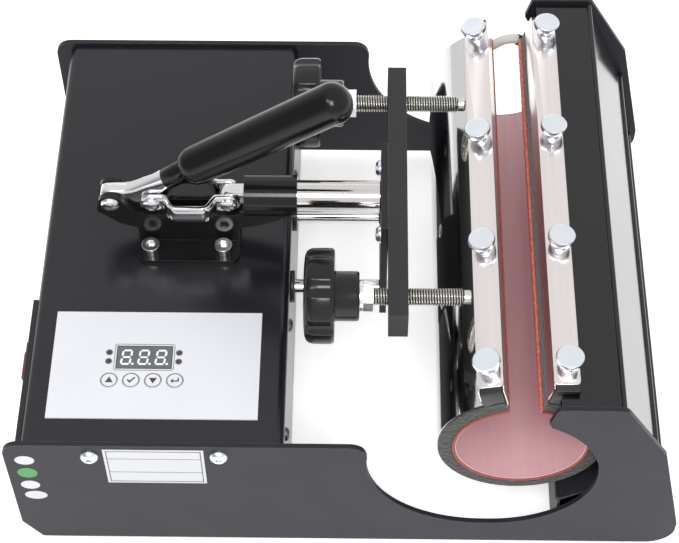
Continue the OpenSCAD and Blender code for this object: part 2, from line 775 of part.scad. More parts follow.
// Lobed wheel with a hub, along +X from x = 0
module handwheel() {
    r = wheel_d / 2;
    scoop_r = 12;
    rotate([0, 90, 0]) difference() {
        union() {
            intersection() {
                linear_extrude(height = wheel_t) difference() {
                    circle(r = r + 2);
                    for (k = [0 : wheel_lobes - 1]) {
                        rotate((k + 0.5) * 360 / wheel_lobes) translate([r + scoop_r - 2.6, 0]) circle(r = scoop_r);
                    }
                }
                rotate_extrude() polygon([
                    [0, 0], [r - 4.5, 0], [r - 1.6, 1.3], [r, 4.2], [r, wheel_t - 1.8], [r - 1.8, wheel_t], [0, wheel_t]
                ]);
            }
            rotate_extrude() polygon([
                [0, wheel_t - 1], [hub_d / 2, wheel_t - 1], [hub_d / 2, wheel_t + hub_l - 1],
                [hub_d / 2 - 1, wheel_t + hub_l], [0, wheel_t + hub_l]
            ]);
        }
        // Round recess in the outer face, and the hole for the screw
        translate([0, 0, -1]) cylinder(h = 3, r = 14);
        cylinder(h = 60, r = screw_r);
    }
}

// Hexagon nut with a washer face, locked against the wheel's hub
module lock_nut() {
    difference() {
        union() {
            rotate([0, 90, 0]) cylinder(h = 2, r = 9);
            translate([2, 0, 0]) rotate([0, 90, 0]) cylinder(h = nut_l - 2, r = 8.4, $fn = 6);
        }
        rotate([0, 90, 0]) translate([0, 0, -1]) cylinder(h = 12, r = screw_r);
    }
}

// Threaded rod along +X: a plain shank in the wheel and nut, then rings of thread.
// Its end is bored for the stem of the thrust tip.
module pressure_screw(x0) {
    len = screw_tip - x0 - tip_l - gap;
    thread_x = wheel_t + hub_l + nut_l + 1;
    turns = floor((len - thread_x - 1) / thread_pitch);
    rotate([0, 90, 0]) rotate_extrude() polygon(concat(
        [[0, 2], [screw_r, 2], [screw_r, thread_x]],
        [for (k = [0 : turns - 1]) each [
            [screw_r - 0.8, thread_x + (k + 0.45) * thread_pitch],
            [screw_r, thread_x + (k + 0.9) * thread_pitch],
            [screw_r, thread_x + (k + 1) * thread_pitch]
        ]],
        [[screw_r - 0.9, len], [tip_stem + run, len], [tip_stem + run, len - 7], [0, len - 7]]
    ));
}

// Tip that stays still against the cuff while the screw turns behind it
module thrust_tip(s) {
    color([0.72, 0.71, 0.68]) at_screw(s, screw_tip - tip_l) rotate([0, 90, 0]) rotate_extrude() polygon([
        [0, -6], [tip_stem, -6], [tip_stem, 0], [tip_r, 0], [tip_r, tip_l - 0.8], [tip_r - 0.8, tip_l], [0, tip_l]
    ]);
}

module thrust_tip_front() { thrust_tip(-1); }
module thrust_tip_rear() { thrust_tip(1); }

module at_screw(s, x) {
    translate([x, clamp_y + s * screw_dy, axis_z]) children();
}

module pressure_screw_front() {
    color([0.75, 0.74, 0.7]) at_screw(-1, wheel_front_x) pressure_screw(wheel_front_x);
}

module pressure_screw_rear() {
    color([0.75, 0.74, 0.7]) at_screw(1, wheel_rear_x) pressure_screw(wheel_rear_x);
}

module handwheel_front() {
    color([0.07, 0.07, 0.075]) at_screw(-1, wheel_front_x) handwheel();
}

module handwheel_rear() {
    color([0.07, 0.07, 0.075]) at_screw(1, wheel_rear_x) handwheel();
}

module lock_nut_front() {
    color([0.8, 0.8, 0.82]) at_screw(-1, wheel_front_x + wheel_t + hub_l + 0.1) lock_nut();
}

module lock_nut_rear() {
    color([0.8, 0.8, 0.82]) at_screw(1, wheel_rear_x + wheel_t + hub_l + 0.1) lock_nut();
}

// ---------- heater cuff ----------

// Turns a shape drawn round the cuff's centre, standing in XZ over the cuff's length
module cuff_solid(y0 = cuff_y0, y1 = cuff_y0 + cuff_len) {
    translate([cuff_x, 0, cuff_z]) stand(y0, y1) children();
}

// Half ring between two radii: the fixed half is on the right and the moving half on the left
module half_ring(r0, r1, moving) {
    far = 90;
    a = slot_half;
    difference() {
        circle(r = r1, $fn = 128);
        circle(r = r0, $fn = 128);
        // Slot
        polygon([[0, 0], [far * sin(a), far * cos(a)], [-far * sin(a), far * cos(a)]]);
        translate([moving ? -gap : -far, -far]) square([moving ? far + gap : far, 2 * far]);
    }
}

module shell_fixed() {
    color([0.85, 0.85, 0.86]) cuff_solid() half_ring(felt_r, shell_r, false);
}

// The moving shell turns up into a flange beside its lip
module shell_moving() {
    color([0.85, 0.85, 0.86]) cuff_solid() union() {
        half_ring(felt_r, shell_r, true);
        rotate(slot_half) difference() {
            translate([-lip_w - shell_t, 42]) square([shell_t, lip_top - 42]);
            circle(r = felt_r, $fn = 128);
        }
    }
}

// Felt with the raised block that carries the clamp strip
module felt_moving() {
    color([0.16, 0.16, 0.16]) difference() {
        cuff_solid() union() {
            half_ring(mat_r + mat_t, felt_r, true);
            rotate(slot_half) difference() {
                translate([-lip_w, 40]) square([lip_w, lip_top - 40]);
                circle(r = shell_r, $fn = 128);
            }
        }
        for (y = thumb_y) moving_thumb(y) translate([0, 0, -20]) cylinder(h = 30, r = 2.56);
    }
}

module felt_fixed() {
    top = strip_z - strip_t;
    color([0.16, 0.16, 0.16]) difference() {
        union() {
            cuff_solid() half_ring(mat_r + mat_t, felt_r, false);
            stand(cuff_y0, cuff_y0 + cuff_len) difference() {
                polygon([
                    [297.3, 136.9], [297.3 + (top - 136.9) * tan(slot_half), top], [313.3, top],
                    [313.3, house_z], [303.2, house_z], [303.2, 134]
                ]);
                translate([cuff_x, cuff_z]) circle(r = shell_r, $fn = 128);
            }
        }
        for (y = thumb_y) translate([fixed_thumb_x, y, house_z - 1]) cylinder(h = 9, r = 2.56);
    }
}

module mat_fixed() {
    color([0.72, 0.3, 0.28]) cuff_solid() half_ring(mat_r, mat_r + mat_t, false);
}

module mat_moving() {
    color([0.72, 0.3, 0.28]) cuff_solid() half_ring(mat_r, mat_r + mat_t, true);
}

module strip_moving() {
    color([0.85, 0.85, 0.86]) difference() {
        cuff_solid(strip_y0, strip_y1) rotate(slot_half) union() {
            translate([-lip_w - shell_t, lip_top]) square([lip_w + 2 * shell_t, strip_t]);
            translate([0, leaf_r]) square([shell_t, lip_top + strip_t - leaf_r]);
        }
        for (y = thumb_y) moving_thumb(y) translate([0, 0, -20]) cylinder(h = 30, r = 2.56);
    }
}

module strip_fixed() {
    top = strip_z - strip_t;
    x_top = 297.3 + (top - 136.9) * tan(slot_half);
    x_low = 297.3 + (138 - 136.9) * tan(slot_half);
    color([0.85, 0.85, 0.86]) difference() {
        union() {
            translate([x_top - shell_t, strip_y0, top]) cube([313.3 - x_top + shell_t, strip_y1 - strip_y0, strip_t]);
            stand(strip_y0, strip_y1) polygon([
                [x_top, top + e], [x_top - shell_t, top + e], [x_low - shell_t, 138], [x_low, 138]
            ]);
        }
        for (y = thumb_y) translate([fixed_thumb_x, y, strip_z - 4]) cylinder(h = 8, r = 2.56);
    }
}

// ---------- thumb screws ----------

// Knurled screw along Z whose washer face rests on z = 0
module thumb_screw(shank) {
    head_r = 7.7;
    teeth = 36;
    difference() {
        rotate_extrude() polygon([
            [0, -shank], [2.5, -shank], [2.5, 0], [5.2, 0], [5.2, 1.2], [3.7, 1.8], [3.7, 5], [5, 5.5],
            [5, 6.6], [head_r - 0.7, 6.6], [head_r, 7.2], [head_r, 9.9], [head_r - 0.5, 10.4], [0, 10.4]
        ]);
        for (k = [0 : teeth - 1]) rotate(k * 360 / teeth) translate([head_r + 0.25, 0, 6]) {
            rotate(45) cube([0.8, 0.8, 5]);
        }
    }
}

module moving_thumb(y) {
    translate([cuff_x, y, cuff_z]) rotate([0, -slot_half, 0]) translate([-thumb_t, 0, lip_top + strip_t]) children();
}

module fixed_thumb(y) {
    translate([fixed_thumb_x, y, strip_z]) children();
}

module thumb_screws_moving() {
    color([0.78, 0.79, 0.82]) for (y = thumb_y) moving_thumb(y) thumb_screw(9);
}

module thumb_screws_fixed() {
    color([0.78, 0.79, 0.82]) for (y = thumb_y) fixed_thumb(y) thumb_screw(12);
}

// ---------- heater lead ----------

function unit(v) = v / norm(v);
function lead_dir(i) = unit(lead_pts[min(i + 1, len(lead_pts) - 1)] - lead_pts[max(i - 1, 0)]);

module heater_lead() {
    n = 12;
    last = len(lead_pts) - 1;
    rings = [for (i = [0 : last]) let(d = lead_dir(i), u = unit(cross(d, [0.2, 0.3, -1])), v = cross(d, u))
        for (k = [0 : n - 1]) lead_pts[i] + lead_r * (cos(360 * k / n) * u + sin(360 * k / n) * v)];
    sides = [for (i = [0 : last - 1], k = [0 : n - 1])
        [i * n + k, i * n + (k + 1) % n, (i + 1) * n + (k + 1) % n, (i + 1) * n + k]];
    color([0.88, 0.87, 0.85]) polyhedron(rings, concat(
        sides, [[for (k = [n - 1 : -1 : 0]) k], [for (k = [0 : n - 1]) last * n + k]]
    ));
}

// Strain relief, and the cable that carries on from it to the housing's inner wall
module lead_boot() {
    last = lead_pts[len(lead_pts) - 1];
    color([0.05, 0.05, 0.05]) translate([0, last[1], last[2]]) rotate([0, 90, 0]) {
        translate([0, 0, boot_x[0] - 1]) cylinder(h = boot_x[1] - boot_x[0] + 1, r1 = 3.9, r2 = 5);
        translate([0, 0, boot_x[1]]) cylinder(h = wall_pts[2][0] - boot_x[1], r = lead_r);
        translate([0, 0, wall_pts[2][0] - 3]) cylinder(h = 3, r = 6);
    }
}

place() front_plate();
place() rear_plate();
place() box_cover();
place() box_base();
place() housing_cover();
place() housing_wall();
place() plate_screws();
place() cover_screws();
place() rubber_feet();
place() control_overlay();
place() display_window();
place() led_display();
place() controller_board();
place() indicator_leds();
place() key_up();
place() key_ok();
place() key_down();
place() key_enter();
place() power_relay();
place() side_panel();
place() switch_bezel();
place() power_rocker();
place() power_inlet();
place() clamp_base();
place() clamp_screws();
place() clamp_nuts();
place() lever_arm();
place() handle_grip();
place() pivot_rivet();
place() lever_rivet();
place() toggle_links();
place() link_rivets();
place() plunger();
place() pusher_plate();
place() pusher_bar();
place() pusher_screws();
place() guide_rods();
place() guide_bushes();
place() lock_nut_front();
place() lock_nut_rear();
place() pressure_screw_front();
place() pressure_screw_rear();
place() handwheel_front();
place() handwheel_rear();
place() shell_fixed();
place() shell_moving();
place() felt_fixed();
place() felt_moving();
place() mat_fixed();
place() mat_moving();
place() strip_fixed();
place() strip_moving();
place() heater_lead();
place() lead_boot();
place() thumb_screws_moving();
place() thumb_screws_fixed();
place() thrust_tip_front();
place() thrust_tip_rear();
place() rating_plate();
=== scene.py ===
"""Looks of the lying mug and tumbler heat press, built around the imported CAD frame. Metres, +Z up."""
import json
import math
import random
import bpy
from mathutils import Matrix, Vector, noise


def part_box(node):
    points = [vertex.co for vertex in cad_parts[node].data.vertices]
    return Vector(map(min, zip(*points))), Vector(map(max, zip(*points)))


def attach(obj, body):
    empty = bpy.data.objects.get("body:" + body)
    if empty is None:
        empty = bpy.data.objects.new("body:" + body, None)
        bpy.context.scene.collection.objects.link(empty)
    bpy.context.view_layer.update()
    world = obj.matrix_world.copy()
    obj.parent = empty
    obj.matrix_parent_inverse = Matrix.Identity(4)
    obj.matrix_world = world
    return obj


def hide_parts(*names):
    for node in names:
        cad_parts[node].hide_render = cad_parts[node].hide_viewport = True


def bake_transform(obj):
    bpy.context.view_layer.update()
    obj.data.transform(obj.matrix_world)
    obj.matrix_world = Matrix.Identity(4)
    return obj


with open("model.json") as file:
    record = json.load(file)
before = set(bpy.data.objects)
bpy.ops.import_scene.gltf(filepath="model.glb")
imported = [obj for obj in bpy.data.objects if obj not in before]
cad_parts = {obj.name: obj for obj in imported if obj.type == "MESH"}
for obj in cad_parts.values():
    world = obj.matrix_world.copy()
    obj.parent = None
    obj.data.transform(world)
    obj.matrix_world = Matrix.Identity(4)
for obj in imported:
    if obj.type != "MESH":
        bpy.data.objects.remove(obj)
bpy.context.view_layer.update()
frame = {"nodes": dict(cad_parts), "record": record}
MM = 0.001
TAU = 2 * math.pi

# ---------------------------------------------------------------- places, read from the frame

plate_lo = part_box("front_plate")[0]
mat_lo, mat_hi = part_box("mat_fixed")
axis_lo, axis_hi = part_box("plunger")
window_lo, window_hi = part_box("display_window")
rating_lo, rating_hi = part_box("rating_plate")
strip_lo, strip_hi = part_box("strip_fixed")
housing_lo, housing_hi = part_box("housing_cover")

CORNER = Vector((plate_lo.x, plate_lo.y, plate_lo.z))     # lower left corner of the front plate
CUFF_Y0, CUFF_Y1 = mat_lo.y, mat_hi.y
AXIS_Z = (axis_lo.z + axis_hi.z) / 2      # height of the plunger and of both pressure screws
CLAMP_Y = (axis_lo.y + axis_hi.y) / 2

MAT_R = 36 * MM                           # inner radius of the heater mat
MAT_T = 2 * MM
SHELL_R = 47 * MM                         # outer radius of the polished shell
SHELL_T = 1 * MM
SLOT = math.radians(14)                   # half of the cuff's open angle
CUFF_X = mat_lo.x
CUFF_Z = mat_lo.z + MAT_R + MAT_T
LIP_TOP = 56.5 * MM                       # measured from the cuff's axis along the slot's face
LIP_W = 12.5 * MM
STRIP_T = 1.5 * MM
PIVOT_Y, PIVOT_Z = 147.6, 139.5           # the clamp's lever and links, in millimetres for at()
LINK_X, LINK_L = 75.5, 44.5               # the links' first eye, and the distance between their eyes


def at(x, y, z):
    """A point given in millimetres from the front plate's lower left corner."""
    return CORNER + Vector((x, y, z)) * MM


def polar(r, a):
    """(x, z) at a radius and an angle from straight up, about the cuff's axis."""
    return CUFF_X + r * math.sin(a), CUFF_Z + r * math.cos(a)


def slot_point(side, across, radius):
    """(x, z) beside the slot: across is measured outwards from its face, radius along the face."""
    c, s = math.cos(SLOT), math.sin(SLOT)
    return CUFF_X + side * (across * c + radius * s), CUFF_Z - across * s + radius * c


def stand(xz, y):
    """The point at (x, z) and y."""
    return Vector((xz[0], y, xz[1]))


# ---------------------------------------------------------------- camera, light, floor

def make_camera():
    """The photograph's place and angle."""
    cam = bpy.data.objects.new("camera", bpy.data.cameras.new("camera"))
    bpy.context.scene.collection.objects.link(cam)
    cam.data.sensor_width = 36
    cam.data.lens = 97.66
    cam.data.clip_end = 20
    yaw, pitch, roll = math.radians(-1.081), math.radians(54.445), math.radians(-0.385)
    forward = Vector((math.sin(yaw) * math.cos(pitch), math.cos(yaw) * math.cos(pitch), -math.sin(pitch)))
    level = Vector((math.cos(yaw), -math.sin(yaw), 0))
    upward = level.cross(forward)
    right = math.cos(roll) * level + math.sin(roll) * upward
    up = -math.sin(roll) * level + math.cos(roll) * upward
    turn = Matrix((right, up, -forward)).transposed().to_4x4()
    cam.matrix_world = Matrix.Translation(at(195.64, -504.26, 976.94)) @ turn
    bpy.context.scene.camera = cam


def area_light(name, place, target, size, power):
    data = bpy.data.lights.new(name, "AREA")
    data.shape = "RECTANGLE"
    data.size, data.size_y = size
    data.energy = power
    lamp = bpy.data.objects.new(name, data)
    bpy.context.scene.collection.objects.link(lamp)
    lamp.location = place
    lamp.rotation_euler = (Vector(target) - Vector(place)).to_track_quat("-Z", "Y").to_euler()


def make_studio():
    """White surroundings with a mild darker side, and three soft lamps."""
    world = bpy.data.worlds.new("studio")
    bpy.context.scene.world = world
    world.use_nodes = True
    tree = world.node_tree
    tree.nodes.clear()
    coord = tree.nodes.new("ShaderNodeTexCoord")
    side = tree.nodes.new("ShaderNodeVectorMath")
    side.operation = "DOT_PRODUCT"
    side.inputs[1].default_value = Vector((-0.80, -0.30, 0.25)).normalized()
    ramp = tree.nodes.new("ShaderNodeValToRGB")
    white, dark = ramp.color_ramp.elements
    white.position, white.color = 0.55, (1, 1, 1, 1)
    dark.position, dark.color = 0.95, (0.42, 0.42, 0.44, 1)
    back = tree.nodes.new("ShaderNodeBackground")
    back.inputs["Strength"].default_value = 0.95
    out = tree.nodes.new("ShaderNodeOutputWorld")
    tree.links.new(coord.outputs["Generated"], side.inputs[0])
    tree.links.new(side.outputs["Value"], ramp.inputs[0])
    tree.links.new(ramp.outputs[0], back.inputs["Color"])
    tree.links.new(back.outputs[0], out.inputs["Surface"])
    area_light("key_light", (-0.5, -0.7, 1.5), (0, 0, 0.1), (0.5, 0.35), 4.0)
    area_light("front_light", (0.05, -0.75, 1.15), (0.08, -0.02, 0.1), (0.4, 0.4), 7)
    area_light("back_light", (-0.2, 1.2, 1.0), (0, 0, 0.1), (1.2, 0.2), 0.3)
    bpy.context.scene.view_settings.view_transform = "Standard"


def make_floor():
    bpy.ops.mesh.primitive_plane_add(size=12, location=(0, 0, 0))
    floor = bpy.context.object
    floor.name = "floor"
    mat = bpy.data.materials.new("floor_white")
    mat.use_nodes = True
    shader = mat.node_tree.nodes["Principled BSDF"]
    shader.inputs["Base Color"].default_value = (0.93, 0.93, 0.93, 1)
    shader.inputs["Roughness"].default_value = 0.9
    shader.inputs["Specular IOR Level"].default_value = 0.1
    shader.inputs["Emission Color"].default_value = (1, 1, 1, 1)
    shader.inputs["Emission Strength"].default_value = 0.5
    floor.data.materials.append(mat)


# ---------------------------------------------------------------- materials

MATERIALS = {}


class Shader:
    """A Principled material, listed in MATERIALS and built up from small node helpers."""

    def __init__(self, name, rough=0.4, metallic=0.0, coat=0.0, coat_rough=0.1, sheen=0.0, specular=0.5):
        mat = bpy.data.materials.new(name)
        mat.use_nodes = True
        MATERIALS[name] = mat
        self.tree = mat.node_tree
        self.bsdf = self.tree.nodes["Principled BSDF"]
        self.bsdf.inputs["Metallic"].default_value = metallic
        self.bsdf.inputs["Roughness"].default_value = rough
        self.bsdf.inputs["Coat Weight"].default_value = coat
        self.bsdf.inputs["Coat Roughness"].default_value = coat_rough
        self.bsdf.inputs["Sheen Weight"].default_value = sheen
        self.bsdf.inputs["Specular IOR Level"].default_value = specular
        self.coord = self.tree.nodes.new("ShaderNodeTexCoord").outputs["Object"]

    def node(self, kind, **inputs):
        made = self.tree.nodes.new(kind)
        for key, value in inputs.items():
            made.inputs[key.replace("_", " ")].default_value = value
        return made

    def scaled(self, scale):
        mapping = self.node("ShaderNodeMapping", Scale=scale)
        self.tree.links.new(self.coord, mapping.inputs["Vector"])
        return mapping.outputs["Vector"]

    def noise(self, scale, detail, rough=0.55):
        made = self.node("ShaderNodeTexNoise", Scale=1.0, Detail=detail, Roughness=rough)
        self.tree.links.new(self.scaled(scale), made.inputs["Vector"])
        return made.outputs["Fac"]

    def cells(self, scale):
        made = self.node("ShaderNodeTexVoronoi", Scale=1.0)
        self.tree.links.new(self.scaled(scale), made.inputs["Vector"])
        return made.outputs["Distance"]

    def spread(self, value, low, high, to_low=0, to_high=1):
        made = self.node("ShaderNodeMapRange", From_Min=low, From_Max=high, To_Min=to_low, To_Max=to_high)
        self.tree.links.new(value, made.inputs["Value"])
        return made.outputs["Result"]

    def patches(self, scale, detail, low, high, to_low=0, to_high=1, rough=0.55):
        """Noise that is as fine in every direction, spread from low..high to to_low..to_high."""
        return self.spread(self.noise((scale,) * 3, detail, rough), low, high, to_low, to_high)

    def mix(self, factor, a, b):
        made = self.tree.nodes.new("ShaderNodeMix")
        made.data_type = "RGBA"
        self.tree.links.new(factor, made.inputs[0])
        for value, socket in ((a, made.inputs[6]), (b, made.inputs[7])):
            if isinstance(value, tuple):
                socket.default_value = (*value, 1)
            else:
                self.tree.links.new(value, socket)
        return made.outputs[2]

    def colour(self, value):
        self.tree.links.new(value, self.bsdf.inputs["Base Color"])

    def roughness(self, value):
        self.tree.links.new(value, self.bsdf.inputs["Roughness"])

    def bump(self, height, strength, distance):
        made = self.node("ShaderNodeBump", Strength=strength, Distance=distance)
        self.tree.links.new(height, made.inputs["Height"])
        self.tree.links.new(made.outputs["Normal"], self.bsdf.inputs["Normal"])

    def worn_edges(self, colour, edge):
        """Lightens edges, where a slightly rounded normal leaves the face's own, broken up by noise."""
        geometry = self.tree.nodes.new("ShaderNodeNewGeometry")
        soft = self.node("ShaderNodeBevel", Radius=0.0006)
        turn = self.tree.nodes.new("ShaderNodeVectorMath")
        turn.operation = "DOT_PRODUCT"
        self.tree.links.new(geometry.outputs["Normal"], turn.inputs[0])
        self.tree.links.new(soft.outputs["Normal"], turn.inputs[1])
        both = self.tree.nodes.new("ShaderNodeMath")
        both.operation = "MULTIPLY"
        self.tree.links.new(self.spread(turn.outputs["Value"], 0.99, 0.88, 0, 0.6), both.inputs[0])
        self.tree.links.new(self.patches(160, 3, 0.35, 0.65, 0.25), both.inputs[1])
        return self.mix(both.outputs[0], colour, edge)


def painted(name, low, high, edge, rough, grain, grain_size, coat=0.0, specular=0.5):
    """Powder coat: slow colour drift, orange-peel bump, rubbed edges."""
    s = Shader(name, coat=coat, specular=specular)
    s.colour(s.worn_edges(s.mix(s.patches(9, 2, 0.2, 0.8), low, high), edge))
    s.roughness(s.patches(45, 2, 0.2, 0.8, *rough))
    s.bump(s.noise((grain_size,) * 3, 2), grain, 0.0004)


def metal(name, low, high, rough, lines, bump=0.03, tint=(0.35, 0.33, 0.3)):
    """Bright metal with fine lines along one direction and faint handling marks."""
    s = Shader(name, metallic=1.0)
    streak = s.noise(lines, 3)
    mark = s.patches(70, 6, 0.58, 0.78, 0, 0.35, 0.7)
    s.colour(s.mix(mark, s.mix(streak, low, high), tint))
    s.roughness(s.spread(streak, 0.3, 0.7, *rough))
    s.bump(streak, bump, 0.0002)


def moulded(name, low, high, rough, grain=0.04, grain_size=600, coat=0.0, specular=0.5):
    """Moulded plastic or rubber."""
    s = Shader(name, coat=coat, specular=specular)
    s.colour(s.mix(s.patches(30, 4, 0.3, 0.7), low, high))
    s.roughness(s.patches(90, 4, 0.3, 0.7, *rough))
    s.bump(s.noise((grain_size,) * 3, 2), grain, 0.0003)


def felt():
    s = Shader("felt_grey", rough=0.95, sheen=0.25)
    speck = s.patches(1500, 4, 0.42, 0.68, rough=0.8)
    s.colour(s.mix(speck, (0.007, 0.007, 0.007), (0.075, 0.073, 0.068)))
    s.bump(s.mix(s.cells((420,) * 3), (0, 0, 0), (1, 1, 1)), 0.6, 0.0008)


def silicone():
    """Pink satin inside of the mat: fine streaks along it, and faint cross ribs of the heating wire."""
    s = Shader("silicone_red", rough=0.34, coat=0.15, coat_rough=0.25)
    streak = s.noise((900, 5, 900), 4, 0.7)
    blotch = s.spread(s.noise((26, 14, 26), 4), 0.3, 0.7)
    wire = s.node("ShaderNodeTexWave", Scale=1.0, Distortion=0.4, Detail=1.0)
    wire.bands_direction = "Y"
    s.tree.links.new(s.scaled((0, 105, 0)), wire.inputs["Vector"])
    base = s.mix(blotch, (0.57, 0.335, 0.36), (0.62, 0.375, 0.40))
    s.colour(s.mix(s.spread(streak, 0.3, 0.75, 0, 0.5), base, (0.68, 0.46, 0.475)))
    s.roughness(s.spread(streak, 0.3, 0.7, 0.28, 0.46))
    s.bump(s.spread(wire.outputs["Fac"], 0, 1, 0, 0.15), 0.12, 0.0006)


def cut_silicone(name, low, high):
    """Red core of the mat, where it is cut."""
    s = Shader(name, rough=0.45)
    s.colour(s.mix(s.patches(700, 4, 0.3, 0.7, rough=0.7), low, high))
    s.bump(s.noise((1100,) * 3, 3), 0.4, 0.0005)


def overlay():
    """Satin printed film of the control panel."""
    s = Shader("overlay_white", rough=0.42)
    s.colour(s.mix(s.patches(18, 3, 0.3, 0.7), (0.64, 0.65, 0.685), (0.67, 0.68, 0.715)))
    s.roughness(s.patches(60, 4, 0.3, 0.7, 0.36, 0.5))
    s.bump(s.noise((1700,) * 3, 2), 0.05, 0.0002)


def sleeve():
    """Braided glass sleeve."""
    s = Shader("sleeve_white", rough=0.8, sheen=0.3)
    wave = s.node("ShaderNodeTexWave", Scale=1.0, Distortion=2.0, Detail=2.0)
    s.tree.links.new(s.scaled((900, 500, 900)), wave.inputs["Vector"])
    s.colour(s.mix(wave.outputs["Fac"], (0.62, 0.61, 0.58), (0.86, 0.85, 0.82)))
    s.bump(wave.outputs["Fac"], 0.5, 0.0004)


def make_materials():
    """Every material: its two drifting colours, then its worn edge, roughness range and grain."""
    painted("powder_black", (0.0135, 0.0125, 0.0185), (0.0165, 0.0155, 0.0215), (0.16, 0.16, 0.165),
            (0.44, 0.50), 0.14, 1300, specular=0.27)
    painted("gloss_black", (0.0085, 0.008, 0.0115), (0.0105, 0.010, 0.0135), (0.11, 0.11, 0.115),
            (0.22, 0.25), 0.05, 700, specular=0.44)
    painted("housing_gloss", (0.004, 0.004, 0.005), (0.0055, 0.0055, 0.0065), (0.11, 0.11, 0.115),
            (0.13, 0.16), 0.02, 700, coat=0.45, specular=0.28)
    painted("clamp_black", (0.006, 0.006, 0.0065), (0.010, 0.010, 0.0105), (0.08, 0.08, 0.085),
            (0.10, 0.16), 0.04, 500, coat=0.1, specular=0.24)
    painted("pusher_black", (0.014, 0.014, 0.0155), (0.019, 0.019, 0.0205), (0.13, 0.13, 0.13),
            (0.4, 0.48), 0.2, 1500, specular=0.42)
    metal("black_oxide", (0.16, 0.16, 0.17), (0.24, 0.24, 0.25), (0.3, 0.45), (500, 500, 500))
    metal("chrome", (0.66, 0.66, 0.67), (0.78, 0.78, 0.79), (0.06, 0.13), (120, 120, 120), 0.02)
    metal("plunger_steel", (0.60, 0.575, 0.56), (0.72, 0.69, 0.675), (0.08, 0.15), (6, 500, 500), 0.02,
          (0.5, 0.47, 0.45))
    metal("zinc", (0.74, 0.78, 0.83), (0.82, 0.86, 0.90), (0.20, 0.28), (150, 150, 150), 0.01,
          (0.62, 0.66, 0.74))
    metal("thread_steel", (0.60, 0.59, 0.55), (0.74, 0.73, 0.69), (0.2, 0.3), (90, 90, 90), 0.01)
    # dark steel for the bottoms of the thread grooves: painted shade, not a real colour of the screw
    metal("thread_groove_shade", (0.10, 0.097, 0.09), (0.16, 0.155, 0.145), (0.3, 0.4), (90, 90, 90))
    metal("polished_steel", (0.60, 0.595, 0.59), (0.68, 0.675, 0.67), (0.05, 0.12), (260, 3, 260), 0.04,
          (0.55, 0.53, 0.53))
    metal("strip_steel", (0.76, 0.70, 0.69), (0.84, 0.79, 0.775), (0.14, 0.24), (420, 3, 420), 0.03,
          (0.68, 0.63, 0.62))
    metal("label_silver", (0.50, 0.51, 0.53), (0.60, 0.61, 0.63), (0.3, 0.42), (20, 900, 900))
    felt()
    silicone()
    cut_silicone("red_edge", (0.26, 0.035, 0.025), (0.72, 0.20, 0.14))
    cut_silicone("rim_red", (0.16, 0.022, 0.018), (0.33, 0.065, 0.05))
    overlay()
    sleeve()
    moulded("block_black", (0.006, 0.006, 0.007), (0.016, 0.016, 0.017), (0.3, 0.5), 0.3, 900)
    moulded("grip_vinyl", (0.003, 0.003, 0.0035), (0.005, 0.005, 0.006), (0.14, 0.20), 0.02, 160,
            specular=0.3)
    moulded("wheel_phenolic", (0.007, 0.007, 0.008), (0.012, 0.012, 0.013), (0.16, 0.24), 0.02, 420,
            specular=0.34)
    moulded("smoked_window", (0.085, 0.09, 0.097), (0.105, 0.11, 0.118), (0.08, 0.16), 0.01, 300, 0.6)
    moulded("display_black", (0.02, 0.02, 0.022), (0.03, 0.03, 0.032), (0.3, 0.4))
    moulded("print_dark", (0.03, 0.03, 0.035), (0.05, 0.05, 0.055), (0.4, 0.5))
    moulded("print_grey", (0.16, 0.165, 0.17), (0.21, 0.215, 0.22), (0.35, 0.45))
    moulded("digit_white", (0.82, 0.84, 0.85), (0.9, 0.92, 0.93), (0.3, 0.4))
    moulded("board_green", (0.02, 0.12, 0.05), (0.03, 0.17, 0.07), (0.3, 0.45))
    moulded("led_grey", (0.03, 0.03, 0.035), (0.05, 0.05, 0.055), (0.2, 0.3))
    moulded("relay_white", (0.62, 0.62, 0.58), (0.72, 0.72, 0.68), (0.4, 0.5))
    moulded("switch_black", (0.014, 0.014, 0.015), (0.022, 0.022, 0.023), (0.35, 0.5), 0.12, 1200)
    moulded("switch_red", (0.42, 0.012, 0.02), (0.55, 0.02, 0.03), (0.15, 0.25), coat=0.4)
    moulded("foot_rubber", (0.012, 0.012, 0.012), (0.022, 0.022, 0.022), (0.7, 0.85), 0.3, 1400)
    moulded("sticker_green", (0.03, 0.22, 0.06), (0.05, 0.28, 0.08), (0.35, 0.45))
    moulded("sticker_white", (0.54, 0.54, 0.545), (0.6, 0.6, 0.605), (0.4, 0.5))


# ---------------------------------------------------------------- mesh helpers

def new_piece(name, shape, material, body, replaces=(), sharp=40):
    """A piece from (points, faces)."""
    mesh = bpy.data.meshes.new(name)
    mesh.from_pydata([tuple(p) for p in shape[0]], [], shape[1])
    mesh.validate()
    piece = bpy.data.objects.new(name, mesh)
    bpy.context.scene.collection.objects.link(piece)
    bpy.context.view_layer.objects.active = piece
    piece.select_set(True)
    bpy.ops.object.mode_set(mode="EDIT")
    bpy.ops.mesh.select_all(action="SELECT")
    bpy.ops.mesh.remove_doubles(threshold=1e-6)
    bpy.ops.mesh.normals_make_consistent(inside=False)
    bpy.ops.object.mode_set(mode="OBJECT")
    piece.select_set(False)
    mesh.polygons.foreach_set("use_smooth", [True] * len(mesh.polygons))
    mesh.set_sharp_from_angle(angle=math.radians(sharp))
    mesh.materials.append(MATERIALS[material])
    if isinstance(body, tuple):
        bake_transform(piece)
    else:
        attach(piece, body)
    if replaces:
        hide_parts(*replaces)
    return piece


def second_material(piece, material, test):
    """Gives a second material to the faces that pass a test."""
    piece.data.materials.append(MATERIALS[material])
    for face in piece.data.polygons:
        if test(face):
            face.material_index = 1


def spaced(a, b, n):
    return [a + (b - a) * i / n for i in range(n + 1)]


def turns(n):
    """n equal angles round a circle."""
    return [TAU * k / n for k in range(n)]


